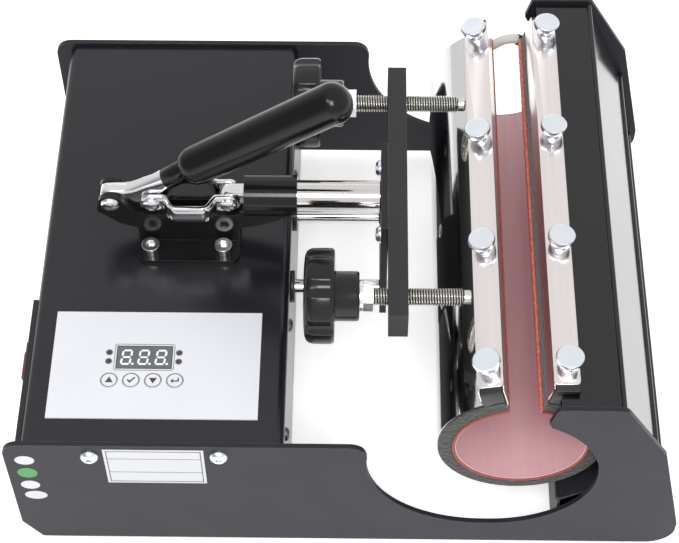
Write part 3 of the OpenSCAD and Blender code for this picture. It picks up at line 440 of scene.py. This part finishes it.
def rings_mesh(rings, capped=True):
    """Points and faces of a surface through closed rings of equal length."""
    n = len(rings[0])
    points = [p for ring in rings for p in ring]
    faces = []
    for i in range(len(rings) - 1):
        for k in range(n):
            a, b = i * n + k, i * n + (k + 1) % n
            faces.append((a, b, b + n, a + n))
    if capped:
        faces.append(tuple(range(n - 1, -1, -1)))
        faces.append(tuple(range((len(rings) - 1) * n, len(rings) * n)))
    return points, faces


def joined(*parts):
    """One points and faces pair out of several."""
    points, faces = [], []
    for p, f in parts:
        faces += [tuple(i + len(points) for i in face) for face in f]
        points += p
    return points, faces


def basis(origin, axis):
    """Matrix whose Z is axis and whose X is as near as possible to straight up, or to +X where Z is that."""
    z = Vector(axis).normalized()
    x = Vector((0, 0, 1)) if abs(z.z) < 0.9 else Vector((1, 0, 0))
    x = (x - x.project(z)).normalized()
    m = Matrix((x, z.cross(x), z)).transposed().to_4x4()
    m.translation = Vector(origin)
    return m


def front_facing(y):
    """Matrix that stands a flat outline up at y, with its thickness towards the front."""
    return Matrix(((1, 0, 0, 0), (0, 0, -1, y), (0, 1, 0, 0), (0, 0, 0, 1)))


def lathe(profile, matrix, n, shape=None):
    """Turned solid: profile is (radius, height) in millimetres. shape(angle, i) scales the radius."""
    rings = []
    for i, (r, h) in enumerate(profile):
        ring = []
        for a in turns(n):
            scaled = r * MM * (shape(a, i) if shape else 1)
            ring.append(matrix @ Vector((scaled * math.cos(a), scaled * math.sin(a), h * MM)))
        rings.append(ring)
    return rings_mesh(rings)


def rounded(corners, radius, steps):
    """A closed outline with its corners rounded."""
    out = []
    for i, p in enumerate(corners):
        p = Vector(p)
        a = Vector(corners[i - 1]) - p
        b = Vector(corners[(i + 1) % len(corners)]) - p
        r = min(radius, a.length / 2.2, b.length / 2.2)
        cut = min(r / math.tan(a.angle(b) / 2), a.length / 2.1, b.length / 2.1)
        start, end = p + a.normalized() * cut, p + b.normalized() * cut
        for s in range(steps + 1):
            t = s / steps
            out.append((1 - t) ** 2 * start + 2 * t * (1 - t) * p + t * t * end)
    return out


def slab(outline, matrix, height, edge=0.0):
    """Flat solid of an outline (x, y), with rounded upper and lower edges where edge is given."""
    centre = sum((Vector(p) for p in outline), Vector((0, 0))) / len(outline)
    levels = [(0, 0), (0, height)]
    if edge:
        arc = spaced(0, math.pi / 2, 3)
        levels = [(edge * (1 - math.sin(t)), edge * (1 - math.cos(t))) for t in arc]
        levels += [(edge * (1 - math.cos(t)), height - edge * (1 - math.sin(t))) for t in arc]
    rings = []
    for inset, z in levels:
        ring = []
        for p in outline:
            inward = centre - Vector(p)
            p = Vector(p) + inward.normalized() * min(inset, inward.length * 0.5)
            ring.append(matrix @ Vector((p.x, p.y, z)))
        rings.append(ring)
    return rings_mesh(rings)


def tube(path, radius, n):
    """Round tube along a list of points, with rings square to the path."""
    rings = []
    side = Vector((0.2, 0.3, -1))
    for i, p in enumerate(path):
        d = (path[min(i + 1, len(path) - 1)] - path[max(i - 1, 0)]).normalized()
        side = (side - side.project(d)).normalized()
        other = d.cross(side)
        rings.append([p + radius * (math.cos(a) * side + math.sin(a) * other) for a in turns(n)])
    return rings_mesh(rings)


def smooth_path(points, per):
    """Catmull-Rom curve through points, with per steps between two of them."""
    out = []
    for i in range(len(points) - 1):
        p0, p1 = points[max(i - 1, 0)], points[i]
        p2, p3 = points[i + 1], points[min(i + 2, len(points) - 1)]
        for s in range(per):
            t = s / per
            out.append(0.5 * (2 * p1 + (p2 - p0) * t + (2 * p0 - 5 * p1 + 4 * p2 - p3) * t * t
                              + (3 * p1 - p0 - 3 * p2 + p3) * t ** 3))
    return out + [points[-1]]


def extrude_y(outline, ys):
    """Solid of a closed (x, z) outline along Y, with a ring at each y."""
    return rings_mesh([[stand(p, y) for p in outline] for y in ys])


# ---------------------------------------------------------------- heater cuff

BLEND = ("frame", "cuff_wing", (CUFF_X + 8 * MM, CUFF_Y0, CUFF_Z), (CUFF_X - 8 * MM, CUFF_Y0, CUFF_Z))


def slot_angles(n):
    """Angles from the right lip round the bottom to the left lip."""
    return spaced(SLOT, TAU - SLOT, n)


def split_ring(r0, r1):
    """Cross-section of a slotted ring."""
    angles = slot_angles(120)
    return [polar(r1, a) for a in angles] + [polar(r0, a) for a in reversed(angles)]


def make_shell():
    bevel = 0.35 * MM
    front, rear = CUFF_Y0 + 0.9 * MM, CUFF_Y1 - 0.9 * MM
    ys = [front, front + bevel] + spaced(CUFF_Y0 + 20 * MM, CUFF_Y1 - 20 * MM, 6) + [rear - bevel, rear]
    new_piece("cuff_shell", extrude_y(split_ring(SHELL_R - SHELL_T, SHELL_R), ys), "polished_steel", BLEND,
              ("shell_fixed", "shell_moving"))


def make_felt():
    """Felt between the mat and the shell, with slightly furred end faces."""
    random.seed(7)
    r0, r1 = MAT_R + MAT_T, SHELL_R - SHELL_T
    steps = 9
    loop = [(0, j / steps) for j in range(steps + 1)] + [(t, 1) for t in (0.03, 0.5, 0.97, 1)]
    loop += [(1, 1 - j / steps) for j in range(1, steps + 1)] + [(t, 0) for t in (0.97, 0.5, 0.03)]
    rings = []
    for a in slot_angles(150):
        ring = []
        for along, across in loop:
            y = CUFF_Y0 + (CUFF_Y1 - CUFF_Y0) * along
            if along in (0, 1) and 0 < across < 1:
                fur = random.uniform(0.05, 0.55) * MM * 0.4
                y += -fur if along == 0 else fur
            ring.append(stand(polar(r0 + (r1 - r0) * across, a), y))
        rings.append(ring)
    new_piece("cuff_felt", rings_mesh(rings), "felt_grey", BLEND, ("felt_fixed", "felt_moving"),
              50)


def make_mat():
    """Silicone mat: pink inside, red at its cut ends, with a rounded bead round each mouth."""
    ys = [CUFF_Y0, CUFF_Y0 + 0.5 * MM] + spaced(CUFF_Y0 + 10 * MM, CUFF_Y1 - 10 * MM, 8)
    ys += [CUFF_Y1 - 0.5 * MM, CUFF_Y1]
    mat = new_piece("cuff_mat", extrude_y(split_ring(MAT_R, MAT_R + MAT_T), ys), "silicone_red", BLEND,
                    ("mat_fixed", "mat_moving"))
    second_material(mat, "red_edge", lambda face: abs(face.normal.y) > 0.5 or math.hypot(
        face.center.x - CUFF_X, face.center.z - CUFF_Z) > MAT_R + MAT_T * 0.8)
    for tag, y in (("front", CUFF_Y0 - 0.1 * MM), ("rear", CUFF_Y1 + 0.1 * MM)):
        for part, proud, r, look in (("rim", 1.25 * MM, 1.05 * MM, "rim_red"),
                                     ("lip", 0.2 * MM, 0.4 * MM, "silicone_red")):
            path = [stand(polar(MAT_R + proud, a), y) for a in slot_angles(150)]
            new_piece(f"mat_{part}_{tag}", tube(path, r, 10), look, BLEND, (), 60)


def block(name, outline, inset_y, material, body, replaces, radius):
    """Long block along the cuff with rounded outline and softened end faces."""
    y0, y1 = CUFF_Y0 + inset_y, CUFF_Y1 - inset_y
    shape = rounded(outline, radius, 4)
    centre = sum(shape, Vector((0, 0))) / len(shape)
    soft = 0.6 * MM
    ys = [(y0, soft), (y0 + soft * 0.3, soft * 0.35), (y0 + soft, 0)]
    ys += [(y, 0) for y in spaced(y0 + 8 * MM, y1 - 8 * MM, 10)]
    ys += [(y1 - soft, 0), (y1 - soft * 0.3, soft * 0.35), (y1, soft)]
    rings = [[stand(p + (centre - p).normalized() * inset, y) for p in shape] for y, inset in ys]
    new_piece(name, rings_mesh(rings), material, body, replaces)


def ragged_strip(name, side, body, top_r, thickness):
    """The mat's trimmed edge, standing up along a slot face with an uneven upper line."""
    behind = 0.05 * MM
    rings = []
    for y in spaced(CUFF_Y0 + 0.3 * MM, CUFF_Y1 - 0.3 * MM, 180):
        tear = noise.noise(Vector((y * 420, side * 3.1, 0))) * 0.5
        tear += noise.noise(Vector((y * 1300, side, 4))) * 0.35
        top = top_r + tear * MM
        bulge = thickness * (1 + 0.35 * noise.noise(Vector((y * 700, 5, side))))
        ring = [(-behind, MAT_R), (-behind, top), (-bulge * 0.5, top + 0.2 * MM), (-bulge, top - 0.3 * MM),
                (-bulge, MAT_R)]
        rings.append([stand(slot_point(side, c, r), y) for c, r in ring])
    new_piece(name, rings_mesh(rings), "red_edge", body, (), 50)


def clamp_strip(name, side, body, corners, leaf, replaces):
    """Polished strip: a flat bar between two corners, with a thin leaf folded down into the slot."""
    leaf_t = 0.55 * MM
    (xa, za), (xb, zb) = corners
    along = Vector((xb - xa, zb - za))
    width, length = along.length, strip_hi.y - strip_lo.y
    u = along / width
    m = Matrix(((u.x, 0, -u.y, xa), (0, 1, 0, strip_lo.y), (u.y, 0, u.x, za), (0, 0, 0, 1)))
    flat = rounded([(0, 0), (width, 0), (width, length), (0, length)], 2.6 * MM, 6)
    bar = slab(flat, m, STRIP_T, 0.35 * MM)
    high, low = Vector(leaf[0]), Vector(leaf[1])
    d = (low - high).normalized()
    half = Vector((-d.y, d.x)) * leaf_t * 0.5
    curl = Vector((side * 1.6 * MM, -0.9 * MM)) * 0.3
    middle = [high, high + d * 1.2 * MM, low - d * 2.0 * MM, low + curl]
    outline = [p + half for p in middle] + [p - half for p in reversed(middle)]
    fold = extrude_y(outline, spaced(CUFF_Y0 + 1.2 * MM, CUFF_Y1 - 1.2 * MM, 12))
    new_piece(name, joined(bar, fold), "strip_steel", body, replaces, 35)


def make_left_lip():
    """A block that leans outwards with the slot, the shell's upturned flange beside it, and its strip."""
    outer, foot = LIP_W + SHELL_T, 43.6 * MM
    outline = [slot_point(-1, 0.2 * MM, LIP_TOP), slot_point(-1, LIP_W, LIP_TOP), slot_point(-1, LIP_W, foot),
               slot_point(-1, 6 * MM, 46.2 * MM), slot_point(-1, 0.2 * MM, 46.4 * MM)]
    block("lip_block_moving", outline, 0, "block_black", "cuff_wing", ("felt_moving",), 0.8 * MM)
    flange = [slot_point(-1, LIP_W, LIP_TOP), slot_point(-1, outer, LIP_TOP),
              slot_point(-1, outer, 43.2 * MM), slot_point(-1, LIP_W, foot)]
    block("shell_flange", flange, 2 * MM, "polished_steel", "cuff_wing", ("shell_moving",),
          0.3 * MM)
    leaf_in = -0.55 * MM
    clamp_strip("strip_left", -1, "cuff_wing",
                (slot_point(-1, outer, LIP_TOP), slot_point(-1, -0.9 * MM, LIP_TOP)),
                (slot_point(-1, leaf_in, LIP_TOP + 0.6 * MM), slot_point(-1, leaf_in, 41.5 * MM)),
                ("strip_moving",))
    ragged_strip("mat_edge_left", -1, "cuff_wing", 38.2 * MM, 0.6 * MM)


def make_right_lip():
    """A block that rests on the housing, and its strip."""
    top = strip_hi.z - STRIP_T
    low_x, low_z = slot_point(1, 0.2 * MM, 46.6 * MM)
    high_x = low_x + (top - low_z) * math.tan(SLOT)
    wall_x, wall_z = housing_lo.x - 0.3 * MM, housing_hi.z + 0.05 * MM
    outline = [(high_x, top), (strip_hi.x, top), (strip_hi.x, wall_z), (wall_x, wall_z),
               (wall_x, CUFF_Z + 43.2 * MM), (low_x, low_z)]
    block("lip_block_fixed", outline, 0, "block_black", "frame", ("felt_fixed",), 0.5 * MM)
    clamp_strip("strip_right", 1, "frame", ((high_x - 0.8 * MM, top), (strip_hi.x, top)),
                ((high_x - 0.5 * MM, top + 0.6 * MM), (low_x - 0.4 * MM, low_z + 1.5 * MM)), ("strip_fixed",))
    ragged_strip("mat_edge_right", 1, "frame", 38.7 * MM, 1.5 * MM)


# ---------------------------------------------------------------- turned and threaded pieces

def thumb_screw(name, matrix, body, replaces):
    """Collared thumb screw with a knurled head."""
    teeth = 42
    profile = [(2.4, -0.1), (5.0, 0.0), (5.2, 0.2), (5.2, 1.0), (4.9, 1.3), (3.8, 1.6), (3.6, 2.0),
               (3.6, 2.7), (3.9, 3.0), (3.6, 3.3), (3.6, 4.7), (3.8, 5.0), (4.8, 5.3), (5.0, 5.6), (5.0, 6.3),
               (5.4, 6.5), (6.8, 6.6), (7.3, 6.8), (7.65, 7.3), (7.65, 9.6), (7.4, 10.0), (7.0, 10.25),
               (6.4, 10.38), (5.6, 10.36), (3.0, 10.3), (0.2, 10.3)]
    knurled = range(18, 21)

    def shape(a, i):
        return 1 - 0.06 * abs((a * teeth / TAU) % 1 - 0.5) * 2 if i in knurled else 1
    new_piece(name, lathe(profile, matrix, teeth * 4, shape), "zinc", body, replaces, 32)


def make_thumb_screws():
    left_x, left_z = slot_point(-1, 6.5 * MM, LIP_TOP + STRIP_T)
    tilt = Vector((-math.sin(SLOT), 0, math.cos(SLOT)))
    for k, y in enumerate((26.5, 106.5, 186.5, 266.5)):
        y_at = CORNER.y + y * MM
        thumb_screw(f"thumb_screw_left_{k + 1}", basis((left_x, y_at, left_z), tilt), "cuff_wing",
                    ("thumb_screws_moving",))
        thumb_screw(f"thumb_screw_right_{k + 1}", basis((CORNER.x + 307.4 * MM, y_at, strip_hi.z), (0, 0, 1)),
                    "frame", ("thumb_screws_fixed",))


def thread(matrix, length, radius, pitch, depth, start):
    """Helical thread along Z: a plain shank up to start, then V grooves that fade in, and a chamfered end."""
    n, per = 40, 8     # points round, and rings in one pitch
    chamfer = 0.8 * MM
    heights = [0, start * 0.999]
    heights += [start + pitch * i / per for i in range(int((length - start) / pitch * per) + 1)]
    rings = []
    for h in [h for h in heights if h < length] + [length]:
        fade = min(1.0, max(0.0, (h - start) / pitch)) if h > start else 0.0
        cone = max(0.0, h - (length - chamfer)) * 0.9
        ring = []
        for k, a in enumerate(turns(n)):
            groove = max(0.0, 1 - abs((h / pitch - k / n) % 1 - 0.5) / 0.40)
            r = radius - depth * groove * fade - cone
            ring.append(matrix @ Vector((r * math.cos(a), r * math.sin(a), h)))
        rings.append(ring)
    return rings_mesh(rings)


def handwheel(tag):
    """Solid wheel with seven shallow round scoops in its rim, and a hub."""
    lobes, scoop, half_width = 7, 0.075, 0.42     # scoop and half_width are shares of the radius and of a lobe
    web_r, fade_r = 19, 8                         # scoops start at web_r and are fully deep fade_r further out
    profile = [(4.6, 2.4), (13.2, 2.4), (13.9, 2.0), (14.4, 0.6), (15.2, 0.15), (web_r, 0.0), (22.4, 0.35),
               (24.8, 1.3), (26.1, 3.0), (26.7, 5.2), (26.8, 9), (26.8, 14.5), (26.5, 15.9), (25.6, 16.8),
               (23, 17), (15.4, 17.0), (14.4, 17.25), (14.0, 17.9), (14.0, 28.9), (13.7, 30.0), (12.9, 30.6),
               (6, 30.6)]

    def shape(a, i):
        r = profile[i][0]
        d = abs((a * lobes / TAU) % 1 - 0.5) * 2
        if r <= web_r or d >= half_width:
            return 1
        return 1 - scoop * (1 - (d / half_width) ** 2) ** 1.2 * min(1.0, (r - web_r) / fade_r)
    lo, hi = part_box("handwheel_" + tag)
    m = basis((lo.x, (lo.y + hi.y) / 2, AXIS_Z), (1, 0, 0))
    new_piece("wheel_" + tag, lathe(profile, m, lobes * 28, shape), "wheel_phenolic", "screw_" + tag,
              ("handwheel_" + tag,), 38)


def make_screws():
    """Pressure screws, M10, with painted shade darkening the bottoms of their thread grooves, and their
    wheels.
    """
    for tag in ("front", "rear"):
        lo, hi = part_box("pressure_screw_" + tag)
        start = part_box("lock_nut_" + tag)[1].x - lo.x - 1.0 * MM
        cy = (lo.y + hi.y) / 2
        shape = thread(basis((lo.x, cy, AXIS_Z), (1, 0, 0)), hi.x - lo.x, 5 * MM, 1.5 * MM, 0.85 * MM, start)
        screw = new_piece("screw_thread_" + tag, shape, "thread_steel", "screw_" + tag,
                          ("pressure_screw_" + tag,), 28)
        # faces deeper than 4.55 mm in the grooves get the dark steel: painted shade in the thread's recesses
        second_material(screw, "thread_groove_shade", lambda face: abs(face.normal.x) < 0.98 and math.hypot(
            face.center.y - cy, face.center.z - AXIS_Z) < 4.55 * MM)
        handwheel(tag)


# ---------------------------------------------------------------- toggle clamp

def make_grip():
    """Dipped grip: an oval bulb with a soft shoulder, over a narrow sleeve on the lever."""
    lift = math.radians(34.8)
    m = basis(at(63.4, PIVOT_Y, PIVOT_Z), (math.cos(lift), 0, math.sin(lift)))
    r, taper, rise = 12.0, 0.4, 4.2
    s0, s1 = 41.5, 153.1
    dome, shoulder = 10.5, 8.0
    profile = [(5.6, s0 - 15.2), (6.3, s0 - 15), (6.6, s0 - 14.4), (6.8, s0 - 6), (7.0, s0 - 0.6)]
    profile += [(r - rise - taper + rise * math.sin(t) ** 0.9, s0 + shoulder * (1 - math.cos(t) ** 0.9))
                for t in spaced(0.35, math.pi / 2, 9)]
    profile += [(r - taper + taper * t, s0 + shoulder + (s1 - s0 - shoulder - dome) * t)
                for t in spaced(0.06, 1, 14)]
    profile += [(max(r * math.cos(t), 0.2), s1 - dome + dome * math.sin(t))
                for t in spaced(0.1, math.pi / 2 - 0.01, 14)]
    new_piece("grip", lathe(profile, m, 72, lambda a, i: 1 - 0.03 * math.sin(a) ** 2), "grip_vinyl", "handle",
              ("handle_grip",), 60)


def make_lever():
    """Forged lever, flat at its pivot end and round in the grip."""
    stations = [(46.6, 139.9, 2.5, 4.0), (47.6, 140.2, 4.8, 4.0), (50, 140.3, 6.3, 4.0),
                (54, 140.2, 6.6, 4.0), (60, 140.4, 6.5, 4.0), (66, 141.4, 6.8, 4.0), (71, 143.4, 7.2, 4.0),
                (76, 146.8, 7.0, 4.0), (80.5, 150.8, 6.0, 4.4), (85, 154.4, 5.6, 5.0), (90, 158.0, 5.4, 5.2),
                (97, 162.8, 5.2, 5.2)]
    flat_part, flat_power, round_power = 8, 0.35, 0.6     # stations with a boxy section, and the two sections
    path = [at(x, PIVOT_Y, z) for x, z, half_h, half_w in stations]
    rings = []
    for i, (x, z, half_h, half_w) in enumerate(stations):
        d = (path[min(i + 1, len(path) - 1)] - path[max(i - 1, 0)]).normalized()
        up = Vector((-d.z, 0, d.x))
        power = flat_power if i < flat_part else round_power
        ring = []
        for a in turns(28):
            c, s = (math.copysign(abs(v) ** power, v) for v in (math.cos(a), math.sin(a)))
            ring.append(path[i] + up * (half_h * MM * s) + Vector((0, 1, 0)) * (half_w * MM * c))
        rings.append(ring)
    new_piece("lever", rings_mesh(rings), "chrome", "handle", ("lever_arm",), 50)


def make_links():
    """Two strips with round eyes. A smoothstep of the ramp's share t moves each sideways in its joggle."""
    y_in, joggle, thick, half = 4.3, 8.5, 2.6, 6.4
    flat, ramp_l = 7.4, 6.5
    stations = spaced(-half, 0, 8) + spaced(2, LINK_L - 2, 34) + spaced(LINK_L, LINK_L + half, 8)
    for side, name in ((-1, "link_front"), (1, "link_rear")):
        rings = []
        for s in stations:
            t = min(max((min(s, LINK_L - s) - flat) / ramp_l, 0), 1)
            y = y_in + joggle * t * t * (3 - 2 * t)
            slope = 6 * t * (1 - t) / ramp_l * joggle * (1 if s < LINK_L / 2 else -1)
            nx, ny = -slope / math.hypot(1, slope), 1 / math.hypot(1, slope)
            over = max(-s, s - LINK_L, 0)
            h = math.sqrt(max(half ** 2 - over ** 2, 0.15))
            edge = min(0.6, h * 0.4)
            section = [(0.0, h - edge), (0.25, h - edge * 0.3), (edge, h), (thick - edge, h),
                       (thick - 0.25, h - edge * 0.3), (thick, h - edge)]
            section += [(c, -z) for c, z in reversed(section)]
            rings.append([at(LINK_X + s + nx * c, PIVOT_Y + side * (y + ny * c), PIVOT_Z + z)
                          for c, z in section])
        new_piece(name, rings_mesh(rings), "chrome", "links", ("toggle_links",), 42)


def make_plunger():
    """Ground rod with a flat tang that lies between the links."""
    x0 = at(136, 0, 0).x
    length = (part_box("pusher_plate")[0].x - x0) / MM
    chamfer, gap = 0.7, 0.1     # gap is what the rod's end stays short of the plate
    profile = [(1, 0), (8.3, 0), (9, chamfer)] + [(9, h) for h in spaced(3, length - 3, 8)]
    profile += [(9, length - chamfer), (8.4, length - gap), (1, length - gap)]
    new_piece("plunger_rod", lathe(profile, basis((x0, CLAMP_Y, AXIS_Z), (1, 0, 0)), 72), "plunger_steel",
              "pusher", ("plunger",))
    eye = at(LINK_X + LINK_L, 0, PIVOT_Z)
    r, thick = 6 * MM, 8 * MM
    outline = [Vector((eye.x + r * math.cos(t), eye.z + r * math.sin(t)))
               for t in spaced(math.pi / 2, 3 * math.pi / 2, 18)]
    end = at(137.5, 0, 0).x
    outline += [Vector((end, eye.z - r)), Vector((end, eye.z + r))]
    new_piece("plunger_tang", slab(outline, front_facing(CLAMP_Y + thick / 2), thick, 0.5 * MM), "chrome",
              "pusher", ("plunger",))


# ---------------------------------------------------------------- control panel prints

PRINT_T = 0.07 * MM


def flat_print(name, outlines, z, material, body="frame"):
    """Thin raised prints, each a closed outline of (x, y) points."""
    m = Matrix.Translation((0, 0, z))
    new_piece(name, joined(*[slab(o, m, PRINT_T) for o in outlines]), material, body)


def line_shape(outer, inner, z):
    """Closed raised line between two outlines."""
    loops = [[Vector((p.x, p.y, h)) for p, h in ((i, z), (o, z), (o, z + PRINT_T), (i, z + PRINT_T))]
             for o, i in zip(outer, inner)]
    return rings_mesh(loops + [loops[0]], False)


def circle(cx, cy, rx, ry, n):
    return [Vector((cx + rx * math.cos(a), cy + ry * math.sin(a))) for a in turns(n)]


def ring_print(name, centres, r0, r1, n, z, material, body="frame"):
    parts = [line_shape(circle(cx, cy, r1, r1, n), circle(cx, cy, r0, r0, n), z) for cx, cy in centres]
    new_piece(name, joined(*parts), material, body)


def box_outline(x0, y0, x1, y1, r=0.0):
    corners = [Vector((x0, y0)), Vector((x1, y0)), Vector((x1, y1)), Vector((x0, y1))]
    return rounded(corners, r, 4) if r else corners


def window_print(name, out, line, z, r):
    """Dark line with round corners, out from the window's edge."""
    x0, y0, x1, y1 = window_lo.x - out, window_lo.y - out, window_hi.x + out, window_hi.y + out
    inner = box_outline(x0 + line, y0 + line, x1 - line, y1 - line, max(r - line, 0.2 * MM))
    outer = box_outline(x0, y0, x1, y1, r)
    new_piece(name, line_shape(outer, inner, z), "print_dark", "frame")


def digit(x, y, w, h):
    """All seven segments of a leaning figure eight, with its point."""
    t = 0.19 * w
    lean = 0.12
    gap = 0.12 * t
    dot_r = 0.62 * t

    def p(u, v):
        return Vector((x + u + lean * v, y + v))

    def across(v):
        a, b = gap + t * 0.5, t + gap
        return [p(a, v), p(b, v + t / 2), p(w - b, v + t / 2), p(w - a, v), p(w - b, v - t / 2),
                p(b, v - t / 2)]

    def upright(u, v0, v1):
        a, b = gap + t * 0.5, t + gap
        return [p(u, v0 + a), p(u - t / 2, v0 + b), p(u - t / 2, v1 - b), p(u, v1 - a), p(u + t / 2, v1 - b),
                p(u + t / 2, v0 + b)]
    segments = [across(t / 2), across(h / 2), across(h - t / 2)]
    for u in (t / 2, w - t / 2):
        segments += [upright(u, t * 0.1, h / 2), upright(u, h / 2, h - t * 0.1)]
    dot = [p(w + t * 0.9 + dot_r * math.cos(a), t * 0.6 + dot_r * math.sin(a)) for a in turns(16)]
    return segments + [dot]


def make_display():
    """Lines round the window, three digits and the rings of the indicator lights."""
    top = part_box("control_overlay")[1].z
    window_print("window_frame", 1.1 * MM, 0.3 * MM, top, 1.6 * MM)
    window_print("window_line", -0.1 * MM, 0.4 * MM, window_hi.z, 0.6 * MM)
    w, h, pitch = 6.1 * MM, 10.2 * MM, 9.7 * MM
    y = (window_lo.y + window_hi.y) / 2 - h / 2
    x0 = (window_lo.x + window_hi.x) / 2 - 1.5 * pitch + 0.8 * MM
    outlines = [o for k in range(3) for o in digit(x0 + k * pitch, y, w, h)]
    flat_print("display_digits", outlines, window_hi.z, "digit_white")
    leds = [at(x, y, 0).xy for x in (54.6, 94.1) for y in (56.5, 62.4)]
    ring_print("led_rings", leds, 1.6 * MM, 2.0 * MM, 32, top, "print_grey")


def make_keys():
    """A printed ring and a plain symbol on each key."""
    marks = {
        "up": [[(-1.9, -1.3), (1.9, -1.3), (0, 1.8)]],
        "ok": [[(-2.0, 0.1), (-1.4, 0.6), (-0.6, -0.4), (1.5, 1.8), (2.0, 1.3), (-0.6, -1.6)]],
        "down": [[(-1.9, 1.3), (1.9, 1.3), (0, -1.8)]],
        "enter": [[(-2.1, -0.3), (-0.8, 0.9), (-0.8, -1.5)],
                  [(-0.9, -0.6), (1.9, -0.6), (1.9, 0.0), (-0.9, 0.0)],
                  [(1.3, -0.1), (1.9, -0.1), (1.9, 1.5), (1.3, 1.5)]],
    }
    size = 1.2 * MM
    for name, outlines in marks.items():
        lo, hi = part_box("key_" + name)
        cx, cy = (lo.x + hi.x) / 2, (lo.y + hi.y) / 2
        r = (hi.x - lo.x) / 2
        ring_print("key_ring_" + name, [(cx, cy)], r - 0.55 * MM, r - 0.2 * MM, 48, hi.z, "print_dark",
                   name + "_key")
        shape = [[Vector((cx + a * size, cy + b * size)) for a, b in outline] for outline in outlines]
        flat_print("key_mark_" + name, shape, hi.z, "print_dark", name + "_key")


def make_labels():
    """Blank rating plate's border and rows, and four plain round stickers, on the front plate."""
    line, row_line = 0.5 * MM, 0.3 * MM
    edge = 1.6 * MM
    x0, x1, z0, z1 = rating_lo.x + edge, rating_hi.x - edge, rating_lo.z + edge, rating_hi.z - edge
    upper, lower = rating_hi.z - 10 * MM, rating_lo.z + 12 * MM
    bars = [(x0, z0, x1, z0 + line), (x0, z1 - line, x1, z1), (x0, z0, x0 + line, z1),
            (x1 - line, z0, x1, z1), (x0, upper, x1, upper + row_line), (x0, lower, x1, lower + row_line)]
    turn = front_facing(rating_lo.y)
    shape = joined(*[slab(box_outline(*bar), turn, 0.05 * MM) for bar in bars])
    new_piece("rating_lines", shape, "print_dark", "frame")
    stickers = ((11.3, 89.4, 5.5, 4.6, "sticker_white"), (11.1, 75.6, 5.6, 5.4, "sticker_green"),
                (10.9, 61.9, 5.4, 4.6, "sticker_white"), (12.6, 50.2, 6.4, 4.6, "label_silver"))
    for k, (x, z, rx, rz, material) in enumerate(stickers):
        c = at(x, 0, z)
        shape = slab(circle(c.x, c.z, rx * MM, rz * MM, 48), front_facing(plate_lo.y), 0.12 * MM)
        new_piece(f"sticker_{k + 1}", shape, material, "frame")


# ---------------------------------------------------------------- heater lead

def make_lead():
    """White sleeve from the mat to the housing, with a short black shrink at the housing."""
    route = [(248.8, 281.9, 96), (249, 285, 96), (251, 288, 96), (256, 289, 97), (263, 289, 100),
             (271, 289, 106.5), (279, 289, 114.5), (285, 289, 118.8), (291, 289, 120), (296, 289, 118),
             (301, 289, 114)]
    per = 5
    path = smooth_path([at(*p) for p in route], per)
    shrink = path[-(2 * per - 1):]
    body = ("frame", "cuff_wing", at(298, 289, 110), at(262, 289, 100))
    new_piece("lead_sleeve", tube(path, 3 * MM, 20), "sleeve_white", body, ("heater_lead",),
              60)
    new_piece("lead_shrink", tube(shrink, 3.6 * MM, 20), "switch_black", body, (), 60)


# ---------------------------------------------------------------- CAD nodes that stay

BEVELS = {
    "front_plate": 0.5, "rear_plate": 0.5, "box_cover": 0.5, "box_base": 0.3, "housing_cover": 0.5,
    "housing_wall": 0.3, "display_window": 0.2, "clamp_base": 0.8, "clamp_screws": 0.35,
    "pusher_plate": 0.6, "pusher_bar": 0.9, "lock_nut_front": 0.45, "lock_nut_rear": 0.45,
    "plate_screws": 0.3, "pusher_screws": 0.3, "cover_screws": 0.25, "switch_bezel": 0.5, "power_rocker": 0.6,
    "power_inlet": 0.5, "rubber_feet": 0.7, "guide_bushes": 0.5, "guide_rods": 0.5, "pivot_rivet": 0.4,
    "lever_rivet": 0.4, "link_rivets": 0.4, "lead_boot": 0.5, "power_relay": 0.6, "controller_board": 0.15,
    "key_up": 0.12, "key_ok": 0.12, "key_down": 0.12, "key_enter": 0.12, "indicator_leds": 0.3,
    "side_panel": 0.4, "thrust_tip_front": 0.3, "thrust_tip_rear": 0.3, "rating_plate": 0.1,
}


def dress_cad():
    """Gives each CAD node its material, and softens the edges of those in BEVELS (widths in millimetres)."""
    slots = {s["node"]: s["material_slot"] for s in frame["record"]["subparts"]}
    slots["housing_cover"] = "housing_gloss"
    for name, node in frame["nodes"].items():
        node.data.materials.clear()
        node.data.materials.append(MATERIALS[slots[name]])
        if name in BEVELS:
            weld = node.modifiers.new("weld", "WELD")
            weld.merge_threshold = 0.02 * MM
            flat = node.modifiers.new("flat", "DECIMATE")
            flat.decimate_type = "DISSOLVE"
            flat.angle_limit = math.radians(0.6)
            bevel = node.modifiers.new("bevel", "BEVEL")
            bevel.width = BEVELS[name] * MM
            bevel.segments = 3
            bevel.limit_method = "ANGLE"
            bevel.angle_limit = math.radians(32)
            bevel.miter_outer = "MITER_ARC"
            normals = node.modifiers.new("normals", "WEIGHTED_NORMAL")
            normals.keep_sharp = False
            normals.weight = 90


make_camera()
make_studio()
make_floor()
make_materials()
dress_cad()
make_shell()
make_felt()
make_mat()
make_left_lip()
make_right_lip()
make_thumb_screws()
make_screws()
make_grip()
make_lever()
make_links()
make_plunger()
make_display()
make_keys()
make_labels()
make_lead()
